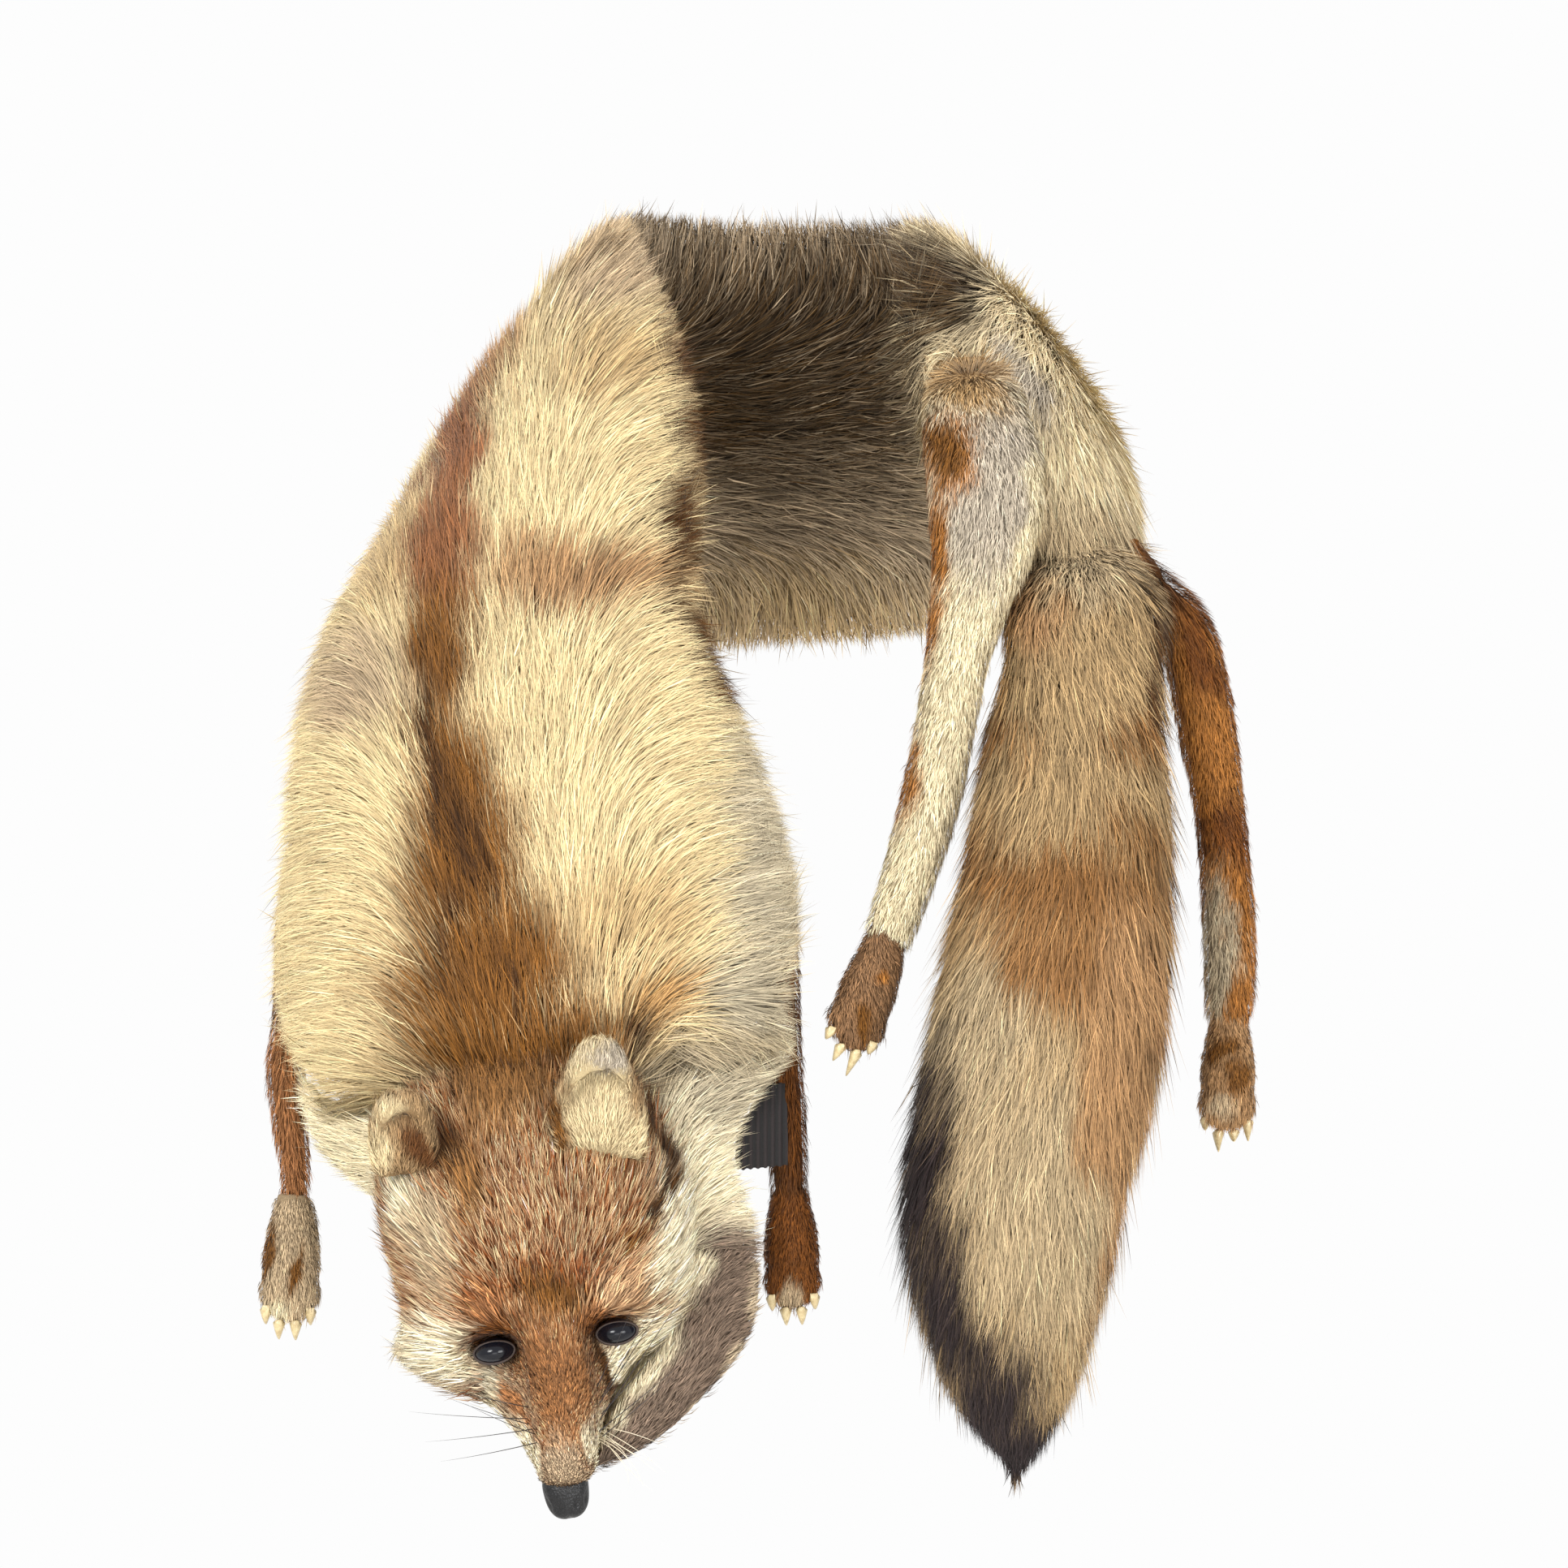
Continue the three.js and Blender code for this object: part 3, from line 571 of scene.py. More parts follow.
# Hollows and swellings of the face: x, z, half width, half height, and how far it stands out, in mm.
FACE_FORM = [
    (EYE_MIDDLE - EYE_SIDE, -EYE_DOWN, 10, 7, -2.4), (EYE_MIDDLE + EYE_SIDE, -EYE_DOWN, 10, 7, -2.4),
    (5, -78, 8, 12, -1.5), (-10, -106, 4, 14, -2.4), (20, -106, 4, 14, -2.6),
    (EYE_MIDDLE - 21, -87, 10, 4, 3), (EYE_MIDDLE + 21, -87, 10, 4, 3),
    (-38, -80, 12, 18, 1.5), (42, -82, 12, 18, 1.5), (5, -45, 30, 22, 1.5),
    (57, -40, 4, 16, -3), (54, -55, 5, 6, -3), (46, -62, 7, 4, -3), (-12, -79, 2.5, 8, -1.8),
]


def face_form(points, normals):
    at = in_head(points)
    push = np.zeros(len(points))
    for x, z, half_wide, half_high, out in FACE_FORM:
        push += out * np.exp(-((at[:, 0] - x) / half_wide) ** 2 - ((at[:, 2] - z) / half_high) ** 2)
    push = push * (normals[:, 1] < 0.2) + 1.6 * np.clip((-126 - at[:, 2]) / 12, 0, 1)
    return normals * push[:, None]


def face_fur_depth(points):
    at = in_head(points)
    nose = np.clip((-82 - at[:, 2]) / 26, 0, 1) * np.clip((26 - np.abs(at[:, 0] - 5)) / 9, 0, 1)
    eyes = sum(np.exp(-((at[:, 0] - EYE_MIDDLE - s * EYE_SIDE) / 11) ** 2 - ((at[:, 2] + EYE_DOWN) / 8) ** 2)
               for s in (-1, 1))
    near_nose = np.clip((-134 - at[:, 2]) / 8, 0, 1)
    return np.clip(5 - 4 * nose - 3.6 * eyes - near_nose, 0.25, 5)


def face_density(points, normals):
    """Denser on the muzzle, where the hair is short."""
    at = in_head(points)
    muzzle = np.clip((-84 - at[:, 2]) / 14, 0, 1) * np.clip((26 - np.abs(at[:, 0] - 5)) / 6, 0, 1)
    return on_fur_side(THROAT_LINE, False, False)(points, normals) * (1 + 3 * muzzle)


# The lie of the face's hair in the head's frame: x, z, and its way across and up.
FACE_LIE = [
    (5, -140, 0, 1), (5, -110, 0, 1), (5, -80, 0, 1), (5, -50, 0, 1), (5, -15, 0, 1),
    (-25, -55, -0.35, 1), (35, -55, 0.35, 1), (-40, -20, -0.5, 1), (42, -20, 0.5, 1),
    (-30, -82, -0.7, 0.8), (42, -82, 0.7, 0.8), (-50, -60, -1, 0.1), (56, -60, 1, 0.5),
    (-47, -85, -1, -0.35), (-34, -108, -1, -0.5), (50, -92, 1, 0.3), (34, -112, 0.9, 0.5),
    (-10, -124, -0.6, 0.9), (20, -124, 0.6, 0.9),
]


def face_comb(points, normals):
    at = in_head(points)
    way = np.zeros((len(points), 3))
    for x, z, across, up in FACE_LIE:
        share = np.exp(-((at[:, 0] - x) ** 2 + (at[:, 2] - z) ** 2) / 16 ** 2) + 1e-6
        way += share[:, None] * np.array((across, 0, up)) / math.hypot(across, up)
    return turned(unit(way), HEAD_TILT)


FACE_MARKS = [
    ("tan_brown", 1, 0, -2, 22, 99, 14, 0),
    ("tan_brown", -18, 0, -28, 8, 99, 16, 0),
    ("sand", -37, 0, -48, 10, 99, 23, 10),
    # The small dark brown spot here is painted shadow at the foot of the right ear.
    ("dark_brown", -25, 0, -15, 5, 99, 7, 0),
    ("white", -44, 0, -28, 7, 99, 17, 0),
    ("white", -37, 0, -91, 16, 99, 15, 0),
    ("belly", -19, 0, -109, 9, 99, 8, 0),
    ("white", -23, 0, -121, 12, 99, 9, 25),
    ("brow", -13, 0, -117, 3, 99, 12, 5),
    ("white", -13, 0, -133, 4, 99, 12, 12),
    ("peach", 35, 0, -77, 16, 99, 10, -20),
    ("brow", -18, 0, -79, 14, 99, 6, 0),
    ("brow", 21, 0, -85, 8, 99, 6, 0),
    ("white", 60, 0, -67, 10, 99, 32, 0),
    ("white", 44, 0, -101, 14, 99, 13, 0),
    ("white", 32, 0, -116, 11, 99, 15, 0),
    # The thin dark brown line beside the muzzle's right side, as seen from the front, is painted shade in the hollow
    # there.
    ("dark_brown", 21, 0, -112, 3, 99, 13, 0),
    ("white", 14, 0, -138, 3, 99, 12, -10),
    ("brown", 7, 0, -74, 11, 99, 11, 0),
    ("bridge", 4, 0, -108, 11, 99, 26, 0),
    ("nose_end", 1, 0, -138, 9, 99, 13, 0),
    # These dark brown and brown lines down the head's right edge are painted shadow in the crease between the ear, the
    # head and the throat.
    ("dark_brown", 52, 0, -17, 2, 99, 13, 0), ("dark_brown", 55, 0, -33, 2, 99, 10, 15),
    ("dark_brown", 56, 0, -46, 2, 99, 8, 0), ("dark_brown", 49, 0, -56, 2, 99, 7, -30),
    ("brown", 41, 0, -63, 7, 99, 2, -35),
    # The rust and dark brown round each eye are partly the face's own colour and partly painted shade under the brows
    # and lids.
    ("rust", -18, 0, -90, 13, 99, 7, 0), ("rust", 25, 0, -91, 11, 99, 6, 0),
    ("hip_brown", EYE_MIDDLE - EYE_SIDE, 0, -EYE_DOWN, 9, 99, 6, 0),
    ("hip_brown", EYE_MIDDLE + EYE_SIDE, 0, -EYE_DOWN, 9, 99, 6, 0),
    ("white", 5, 32, -70, 80, 14, 110, 0),
]

head_skin = skin_under("head_mask", face_fur_depth, 2.6, 3, face_form)
face_coat = coat_of("frosted_brown", FACE_MARKS)
head_fur = grow_fur("head_mask_fur", head_skin, face_comb, lambda points: face_coat(in_head(points)),
                    60000, 3, (1.6, 15), 0.44, 5, thick=face_density, reach=2.5, mixed=0.38)
put_on("head_mask", head_skin, head_fur, (232, 148))

# The ears: thin cups of skin, furred on both sides, pale inside with a darker back and edge, and with painted shade
# along one edge and in the hollows.
# Each ear's middle across, its marks and its coat.
EARS = {
    # The left ear's brown strip at x -84 and its small dark brown spot in the cup are painted shade.
    "left": (-66, [("brown", -84, -232, -270, 4, 20, 22, 14), ("ear_edge", -80, -232, -258, 5, 20, 14, 14),
                   ("silver", -60, -232, -250, 12, 20, 5, 0), ("ear_edge", -51, -232, -260, 4, 20, 14, 0),
                   ("hip_brown", -64, -225, -258, 7, 6, 3, 0)], "ear_pale"),
    # The right ear's dark brown patch beside its fold is painted shadow.
    "right": (-136, [("ear_pale", -141, -230, -268, 8, 20, 4, 0), ("hip_brown", -131, -228, -284, 5, 20, 12, 10),
                     ("ear_pale", -146, -228, -284, 5, 20, 12, 0)], "ear_edge"),
}


def fanned(middle):
    """Hair that lies upward and outward from the middle of an ear."""
    def comb(points, normals):
        out = (points[:, 0] - middle) / 22
        return np.stack([out, 0 * out - 0.3, 0 * out + 1], axis=1)
    return comb


def rounded_tip(points, normals):
    """Ears are rounder at the tip than their solids, and sink into the fur at the foot."""
    top, foot = points[:, 2].max(), points[:, 2].min()
    bulge = 1.8 * np.clip((points[:, 2] - top + 16) / 8, 0, 1) * np.clip((top - points[:, 2]) / 4, 0, 1)
    sunk = 3.5 * np.clip((foot + 12 - points[:, 2]) / 12, 0, 1)
    return normals * bulge[:, None] + sunk[:, None] * (0, 1, 0)


for side, (middle, marks, base) in EARS.items():
    ear_skin = skin_under("ear_" + side, 0.8, 1.2, 4, rounded_tip)
    ear_fur = grow_fur(f"ear_{side}_fur", ear_skin, fanned(middle), coat_of(base, marks, 0.6),
                       6000, 8, (5, 12), 0.3, 5 + len(marks), reach=2.5, mixed=0.16)
    put_on("ear_" + side, ear_skin, ear_fur)


# The eyes: blown glass, nearly black, set in the face behind a rim of bare dark skin.
def smooth_copy(node, material, levels=2):
    """A rounder copy of a hard piece's solid, in its place."""
    made = bpy.data.objects.new(node + "_finished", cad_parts[node].data.copy())
    bpy.context.scene.collection.objects.link(made)
    made.data.materials.clear()
    made.data.materials.append(material)
    made.modifiers.new("weld", "WELD").merge_threshold = 0.01 * MM
    rounding = made.modifiers.new("round", "SUBSURF")
    rounding.levels = rounding.render_levels = levels
    made.data.shade_smooth()
    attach(made, "root")
    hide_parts(node)
    return made


black_glass = bpy.data.materials.new("blown_black_glass")
black_glass.use_nodes = True
tree = black_glass.node_tree
tree.nodes.clear()
place = add_node(tree, "ShaderNodeTexCoord")
depth_of_glass = add_node(tree, "ShaderNodeTexNoise", {"Scale": 1 / (6 * MM)}, {"Vector": place.outputs["Object"]})
shade = add_node(tree, "ShaderNodeValToRGB", {}, {"Fac": depth_of_glass.outputs["Fac"]})
shade.color_ramp.elements[0].color = (*colour("040406"), 1)
shade.color_ramp.elements[1].color = (*colour("14161f"), 1)
shader = add_node(tree, "ShaderNodeBsdfPrincipled", {"Roughness": 0.16, "IOR": 1.36},
                  {"Base Color": shade.outputs["Color"]})
add_node(tree, "ShaderNodeOutputMaterial", {}, {"Surface": shader.outputs["BSDF"]})

lid_skin = bpy.data.materials.new("bare_eyelid_skin")
lid_skin.use_nodes = True
tree = lid_skin.node_tree
tree.nodes.clear()
place = add_node(tree, "ShaderNodeTexCoord")
crinkle = add_node(tree, "ShaderNodeTexNoise", {"Scale": 1 / (0.8 * MM), "Detail": 3.0}, {"Vector": place.outputs["Object"]})
shade = add_node(tree, "ShaderNodeValToRGB", {}, {"Fac": crinkle.outputs["Fac"]})
shade.color_ramp.elements[0].color = (*colour("160e09"), 1)
shade.color_ramp.elements[1].color = (*colour("3a2618"), 1)
grain = add_node(tree, "ShaderNodeBump", {"Strength": 0.5, "Distance": 0.3 * MM}, {"Height": crinkle.outputs["Fac"]})
shader = add_node(tree, "ShaderNodeBsdfPrincipled", {"Roughness": 0.6},
                  {"Base Color": shade.outputs["Color"], "Normal": grain.outputs["Normal"]})
add_node(tree, "ShaderNodeOutputMaterial", {}, {"Surface": shader.outputs["BSDF"]})


def thread(name, lines, thick, material, closed=False):
    """Thin round strands through points in mm. An open one tapers from its root to its tip."""
    data = bpy.data.curves.new(name, "CURVE")
    data.dimensions = "3D"
    data.bevel_depth = thick / 2 * MM
    data.bevel_resolution = 1
    for line in lines:
        spline = data.splines.new("POLY")
        spline.points.add(len(line) - 1)
        spline.use_cyclic_u = closed
        for i, point in enumerate(line):
            spline.points[i].co = (*(np.array(point) * MM), 1)
            spline.points[i].radius = 1 if closed else 1.05 - i / (len(line) - 1)
    data.materials.append(material)
    made = bpy.data.objects.new(name, data)
    bpy.context.scene.collection.objects.link(made)
    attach(made, "root")
    return made


def ball(name, node, material, shape=None):
    """A fine round solid in the place of a node. shape gives its points from those of a ball."""
    mesh = bpy.data.meshes.new(name)
    form = bmesh.new()
    bmesh.ops.create_uvsphere(form, u_segments=48, v_segments=32, radius=1)
    form.to_mesh(mesh)
    form.free()
    low, high = (np.array(corner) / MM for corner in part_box(node))
    points = np.empty(len(mesh.vertices) * 3)
    mesh.vertices.foreach_get("co", points)
    points = points.reshape(-1, 3)
    points = shape(points) if shape else (low + high) / 2 + points * (high - low) / 2
    mesh.vertices.foreach_set("co", (points * MM).ravel())
    mesh.materials.append(material)
    mesh.shade_smooth()
    made = bpy.data.objects.new(name, mesh)
    bpy.context.scene.collection.objects.link(made)
    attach(made, "root")
    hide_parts(node)
    return made


EYE_HALF = np.array((7.5, 8.0, 4.7))
for side, name in ((1, "left"), (-1, "right")):
    eye_at = np.array((EYE_MIDDLE + side * EYE_SIDE, -15, -EYE_DOWN))
    ball("glass_eye_" + name, "eye_" + name, black_glass,
         lambda points: out_of_head(eye_at + points * EYE_HALF))
    rim = [eye_at + (7.4 * math.cos(t), -4.6 + 2 * math.cos(t) ** 2, (3.6 if t < math.pi else 4.2) * math.sin(t))
           for t in np.linspace(0, 2 * math.pi, 28, endpoint=False)]
    thread("eyelid_" + name, [out_of_head(rim)], 1.1, lid_skin, closed=True)

# The nose: a pad of black pebbled leather with two nostrils.
nose_leather = bpy.data.materials.new("pebbled_nose_leather")
nose_leather.use_nodes = True
tree = nose_leather.node_tree
tree.nodes.clear()
place = add_node(tree, "ShaderNodeTexCoord")
pebbles = add_node(tree, "ShaderNodeTexVoronoi", {"Scale": 1 / (0.9 * MM)}, {"Vector": place.outputs["Object"]})
shade = add_node(tree, "ShaderNodeValToRGB", {}, {"Fac": pebbles.outputs["Distance"]})
shade.color_ramp.elements[0].color = (*colour("161618"), 1)
shade.color_ramp.elements[1].color = (*colour("060607"), 1)
grain = add_node(tree, "ShaderNodeBump", {"Strength": 0.7, "Distance": 0.35 * MM, "invert": True},
                 {"Height": pebbles.outputs["Distance"]})
shader = add_node(tree, "ShaderNodeBsdfPrincipled", {"Roughness": 0.4, "IOR": 1.4},
                  {"Base Color": shade.outputs["Color"], "Normal": grain.outputs["Normal"]})
add_node(tree, "ShaderNodeOutputMaterial", {}, {"Surface": shader.outputs["BSDF"]})
NOSE_AT, NOSE_HALF = np.array((0.4, -4.5, -151.2)), np.array((8.2, 8.6, 9.6))
NOSTRILS = [(3.6, -6.5, -4, 1.8, 2, 2.2), (6.6, -4.5, -3, 1.4, 1.6, 1.2)]


def nose_shape(points):
    """A squared ball with a groove down its front and a comma-shaped nostril on each side of it."""
    form = np.sign(points) * np.abs(points) ** 0.74 * NOSE_HALF
    form[:, 0] *= 1 + 0.012 * form[:, 2]
    sunk = 0.5 * np.exp(-(form[:, 0] / 0.8) ** 2) * (form[:, 2] < -1) * (form[:, 1] < 0)
    for x, y, z, half_wide, half_deep, deep in NOSTRILS:
        for side in (-1, 1):
            sunk = sunk + deep * np.exp(-((form[:, 0] - side * x) / half_wide) ** 2
                                        - ((form[:, 1] - y) / half_deep) ** 2 - ((form[:, 2] - z) / 3) ** 2)
    return out_of_head(NOSE_AT + form - unit(points) * sunk[:, None])


ball("nose_pad", "nose", nose_leather, nose_shape)

# The whiskers: black bristles from the lips, laid back along the cheeks, and white hairs on the chin.
bristle = bpy.data.materials.new("black_whisker_bristle")
bristle.use_nodes = True
tree = bristle.node_tree
tree.nodes.clear()
place = add_node(tree, "ShaderNodeTexCoord")
sheath = add_node(tree, "ShaderNodeTexNoise", {"Scale": 1 / (10 * MM)}, {"Vector": place.outputs["Object"]})
shade = add_node(tree, "ShaderNodeValToRGB", {}, {"Fac": sheath.outputs["Fac"]})
shade.color_ramp.elements[0].color = (*colour("0c0a0a"), 1)
shade.color_ramp.elements[1].color = (*colour("2c2220"), 1)
shader = add_node(tree, "ShaderNodeBsdfPrincipled", {"Roughness": 0.35}, {"Base Color": shade.outputs["Color"]})
add_node(tree, "ShaderNodeOutputMaterial", {}, {"Surface": shader.outputs["BSDF"]})


def whisker(start, end, bow, curl=0):
    """A bristle between two points in the head's frame, bowed towards the viewer and curled sideways."""
    start, end = np.array(start, float), np.array(end, float)
    aside = np.cross(unit((end - start)[None])[0], (0, 1, 0))
    return out_of_head([start + t * (end - start) + (0, -bow * 4 * t * (1 - t), 0)
                        + aside * curl * 4 * t * (1 - t) for t in np.linspace(0, 1, 9)])


# Each whisker's root and tip: x, y, z in the head's frame.
LEFT_WHISKERS = [
    ((-8, -14, -118), (-44, -22, -102)), ((-9, -14, -122), (-50, -24, -112)), ((-7, -14, -126), (-46, -20, -124)),
    ((-9, -14, -124), (-38, -22, -108)), ((-6, -14, -131), (-42, -18, -132)), ((-7, -14, -128), (-30, -24, -112)),
]
RIGHT_WHISKERS = [
    ((18, -20, -114), (36, -32, -86)), ((19, -20, -118), (46, -32, -84)), ((18, -20, -124), (56, -26, -92)),
    ((17, -20, -126), (72, -26, -66)), ((18, -20, -120), (58, -30, -74)), ((16, -20, -130), (60, -20, -104)),
    ((17, -20, -132), (50, -18, -112)),
]
CHIN_HAIRS = [
    ((14, 2, -134), (28, -2, -154)), ((15, 2, -133), (34, -3, -150)), ((16, 2, -132), (33, -8, -145)),
    ((14, 2, -135), (23, -2, -152)), ((18, 2, -131), (40, -2, -142)), ((16, 2, -134), (31, -9, -155)),
    ((15, 2, -134), (25, -5, -148)), ((17, 2, -132), (37, -5, -150)),
]
white_bristle = bpy.data.materials.new("white_chin_bristle")
white_bristle.use_nodes = True
tree = white_bristle.node_tree
tree.nodes.clear()
place = add_node(tree, "ShaderNodeTexCoord")
sheath = add_node(tree, "ShaderNodeTexNoise", {"Scale": 1 / (8 * MM)}, {"Vector": place.outputs["Object"]})
shade = add_node(tree, "ShaderNodeValToRGB", {}, {"Fac": sheath.outputs["Fac"]})
shade.color_ramp.elements[0].color = (*colour("d6c5a2"), 1)
shade.color_ramp.elements[1].color = (*colour("f4ebd6"), 1)
shader = add_node(tree, "ShaderNodeBsdfPrincipled", {"Roughness": 0.5}, {"Base Color": shade.outputs["Color"]})
add_node(tree, "ShaderNodeOutputMaterial", {}, {"Surface": shader.outputs["BSDF"]})
thread("whiskers_right_cheek", [whisker(a, b, 5) for a, b in LEFT_WHISKERS], 0.4, bristle)
thread("whiskers_left_cheek", [whisker(a, b, 5) for a, b in RIGHT_WHISKERS], 0.4, bristle)
thread("chin_hairs", [whisker(a, b, 6, 3.5 - 2 * (i % 3)) for i, (a, b) in enumerate(CHIN_HAIRS)], 0.36, white_bristle)

# The jaw: the chin skin, thin and nearly bare, with its mauve-grey down and a pale edge.
JAW_MARKS = [
    ("white", -61, -185, -377, 7, 60, 21, -25),
    ("white", -46, -185, -348, 8, 60, 21, -25),
    ("white", -34, -185, -325, 7, 60, 12, 0),
    ("beige", -36, -185, -389, 13, 60, 3, 38),
    ("beige", -15, -185, -366, 13, 60, 4, 55),
    ("beige", -7, -185, -344, 3, 60, 15, 0),
]


def drooping(points, normals):
    """The flap hangs fuller at its lower edge than its solid, and reaches up to the throat."""
    near = np.exp(-((points[:, 0] + 36) / 26) ** 2 - ((points[:, 2] + 384) / 24) ** 2)
    throat = np.exp(-((points[:, 0] + 18) / 20) ** 2 - ((points[:, 2] + 330) / 12) ** 2)
    return 4.5 * near[:, None] * np.array((0.6, 0, -0.8)) + 5 * throat[:, None] * np.array((0, 0, 1))


jaw_skin = skin_under("jaw_flap", 2, 2.6, 4, drooping)
JAW_LINE = [(-75, -196, -410, 10), (-60, -190, -370, 45), (-62, -180, -320, 55)]
jaw_fur = grow_fur("jaw_flap_fur", jaw_skin, combed(JAW_LINE, 0.8), coat_of("mauve_grey", JAW_MARKS),
                   13000, 3.2, (3, 8), 0.36, 12, reach=2)
put_on("jaw_flap", jaw_skin, jaw_fur, (105, 66))

# The tail: a thin tube of skin with the fox's longest fur, so that it is bushy all round.
TAIL_MARKS = [
    ("pale_tail", 98, -136, -70, 50, 70, 16, 0),
    ("tan", 89, -170, -95, 14, 70, 16, 10),
    ("orange", 78, -170, -111, 5, 70, 14, 8),
    ("tan_brown", 132, -170, -136, 16, 70, 9, 0),
    ("dark_brown", 142, -170, -111, 5, 70, 27, 0),
    ("tan_brown", 78, -180, -142, 11, 70, 9, 0),
    ("tan_brown", 103, -200, -190, 54, 70, 17, -6),
    ("orange_tan", 108, -210, -220, 38, 70, 20, -8),
    ("pale_tail", 66, -210, -248, 20, 70, 27, 10),
    ("tan", 128, -210, -228, 17, 70, 28, 0),
    ("pale_tail", 91, -210, -310, 37, 70, 56, 0),
    ("tan", 122, -210, -270, 13, 70, 34, -10),
    ("tan", 121, -210, -310, 8, 70, 34, -12),
    ("brush_dark", 47, -190, -294, 14, 70, 43, -6),
    ("brush_dark", 55, -190, -345, 14, 70, 34, 12),
    ("brush_dark", 74, -190, -376, 21, 70, 17, 20),
    ("brush_dark", 84, -190, -396, 26, 70, 20, 0),
]
TAIL_LINE = [(97, -126, -66, 60), (108, -152, -135, 40), (101, -178, -210, 46), (86, -192, -285, 46),
             (83, -187, -372, 44), (83, -182, -415, 60)]


def tail_fur_depth(points):
    """The fur of the brush is short at the root and thins out towards the tip."""
    return np.clip(np.minimum((points[:, 2] + 420) / 6, 6 - (points[:, 2] + 70) / 8), 1.8, 12)


def tucked(line, deep, over, towards=(0, 0, 0)):
    """Narrows the start of a line's skin, and moves it towards the piece that it hangs from."""
    start = np.array(line[0][:3])
    way = np.array(line[1][:3]) - start
    way = way / np.linalg.norm(way)

    def sink(points, normals):
        share = np.clip(1 - (points - start) @ way / over, 0, 1)[:, None]
        return share * (np.array(towards) - normals * deep)
    return sink


tail_skin = skin_under("tail", tail_fur_depth, 5, sculpt=tucked(TAIL_LINE, 5, 24, (-5, 8, -5)), line=TAIL_LINE)
tail_fur = grow_fur("tail_fur", tail_skin, combed(TAIL_LINE, 0.35), coat_of("tail_tan", TAIL_MARKS, 2),
                    60000, 2.8, (12, 34), 0.42, 20, thick=on_fur_side(TAIL_LINE, False, False), reach=4)
put_on("tail", tail_skin, tail_fur, (150, 345))

# The legs: narrow tubes of skin left on the pelt, with short hair that lies down to the paw and is
# longer at the top. Each has its line, coat, marks, count of hairs, flat cut, slot, and how far down
# and which way its top is tucked in.
LEGS = {
    "hindleg_right": ([(70, -125, 10, 15), (73, -150, -55, 22), (58, -157, -140, 13), (37, -168, -214, 11)], "cream", [
        ("silver", 74, -150, -44, 26, 60, 42, -10), ("cream", 92, -150, -60, 4, 60, 22, -12),
        ("puff", 67, -120, -2, 22, 60, 16, 0), ("fox_orange", 61, -130, -34, 12, 60, 15, -25),
        ("brown", 60, -140, -32, 7, 60, 11, -25), ("fox_orange", 53, -150, -68, 5, 60, 20, 0),
        ("fox_orange", 49, -150, -106, 5, 60, 20, -8), ("fox_orange", 44, -150, -147, 5, 60, 22, -10),
    ], 20000, (75, 220), "cream_fur", (22, (0, 8, -3))),
    "hindleg_left": ([(140, -112, -68, 10), (156, -116, -120, 12), (164, -121, -180, 11), (166, -126, -244, 9)],
                     "fox_orange", [
        # The darker brown at this leg's top is painted shadow under the tail's root.
        ("hip_brown", 142, -110, -80, 9, 60, 24, 12), ("rust", 158, -115, -105, 9, 60, 24, 10),
        ("fox_orange", 163, -120, -133, 7, 60, 12, 0), ("rust", 169, -120, -176, 15, 60, 13, 0),
        ("grey_white", 160, -130, -222, 7, 60, 28, 0),
    ], 12000, (50, 175), "rust_fur", (24, (-9, 0, 4))),
    "foreleg_right": ([(-160, -128, -168, 10), (-181, -124, -205, 9), (-185, -132, -262, 9), (-182, -135, -312, 7)],
                      "brow", [("orange_tan", -184, -133, -220, 12, 60, 28, 0)], 6000, (37, 147), "rust_fur", (14,)),
    "foreleg_left": ([(-24, -150, -150, 10), (-6, -147, -195, 9), (-1, -149, -245, 9), (2, -151, -308, 8)],
                     "hip_brown", [("rust", 4, -150, -250, 8, 60, 60, 0)], 6000, (39, 155), "rust_fur", (14,)),
}


def puffed(line, size):
    """Hair that lies down a leg, but stands out all round from its top, in a puff of that size in mm."""
    def comb(points, normals):
        rising = points - np.array(line[0][:3]) + (0, 0, 26)
        near = np.clip(1.3 - np.linalg.norm(points - line[0][:3], axis=1) / max(size, 0.1), 0, 1)[:, None]
        return combed(line, 0.2)(points, normals) * (1 - near) + near * unit(rising)
    return comb


for number, (name, (line, base, marks, count, flat, slot, tuck)) in enumerate(LEGS.items()):
    top = np.array(line[0][:3])
    leg_skin = skin_under(name, lambda points: 2.2 + 4 * np.clip(1 - np.linalg.norm(points - top, axis=1) / 34, 0, 1),
                          2.8, 4, tucked(line, 4, *tuck), line)
    leg_fur = grow_fur(name + "_fur", leg_skin, puffed(line, 30 * (name == "hindleg_right")), coat_of(base, marks),
                       count, 3, (2.5, 13), 0.32, 30 + number, thick=on_fur_side(line, False, False), reach=2.5)
    put_on(name, leg_skin, leg_fur, flat)

# The paws: stuffed, with short thick hair that is longest over the toes.
PAWS = {
    "hindpaw_right": ("paw", [("fox_orange", 38, -170, -226, 3, 60, 3, 0), ("brown", 31, -170, -247, 4, 60, 9, 0)]),
    "hindpaw_left": ("tan", [("brown", 165, -130, -256, 6, 60, 4, 0), ("brown", 171, -130, -268, 4, 60, 7, 0),
                             ("sand", 164, -130, -278, 8, 60, 4, 0)]),
    "forepaw_right": ("sand", [("brown", -190, -135, -330, 2, 60, 10, 0), ("brown", -180, -135, -336, 2, 60, 9, 0),
                               ("cream", -186, -135, -352, 6, 60, 5, 0)]),
    "forepaw_left": ("rust", [("sand", 2, -150, -345, 4, 60, 6, 0)]),
}


def drawn_up(points, normals):
    """The top of a paw reaches up into the leg."""
    return 3 * np.clip((points[:, 2] - points[:, 2].max() + 4) / 4, 0, 1)[:, None] * np.array((0, 0, 1))


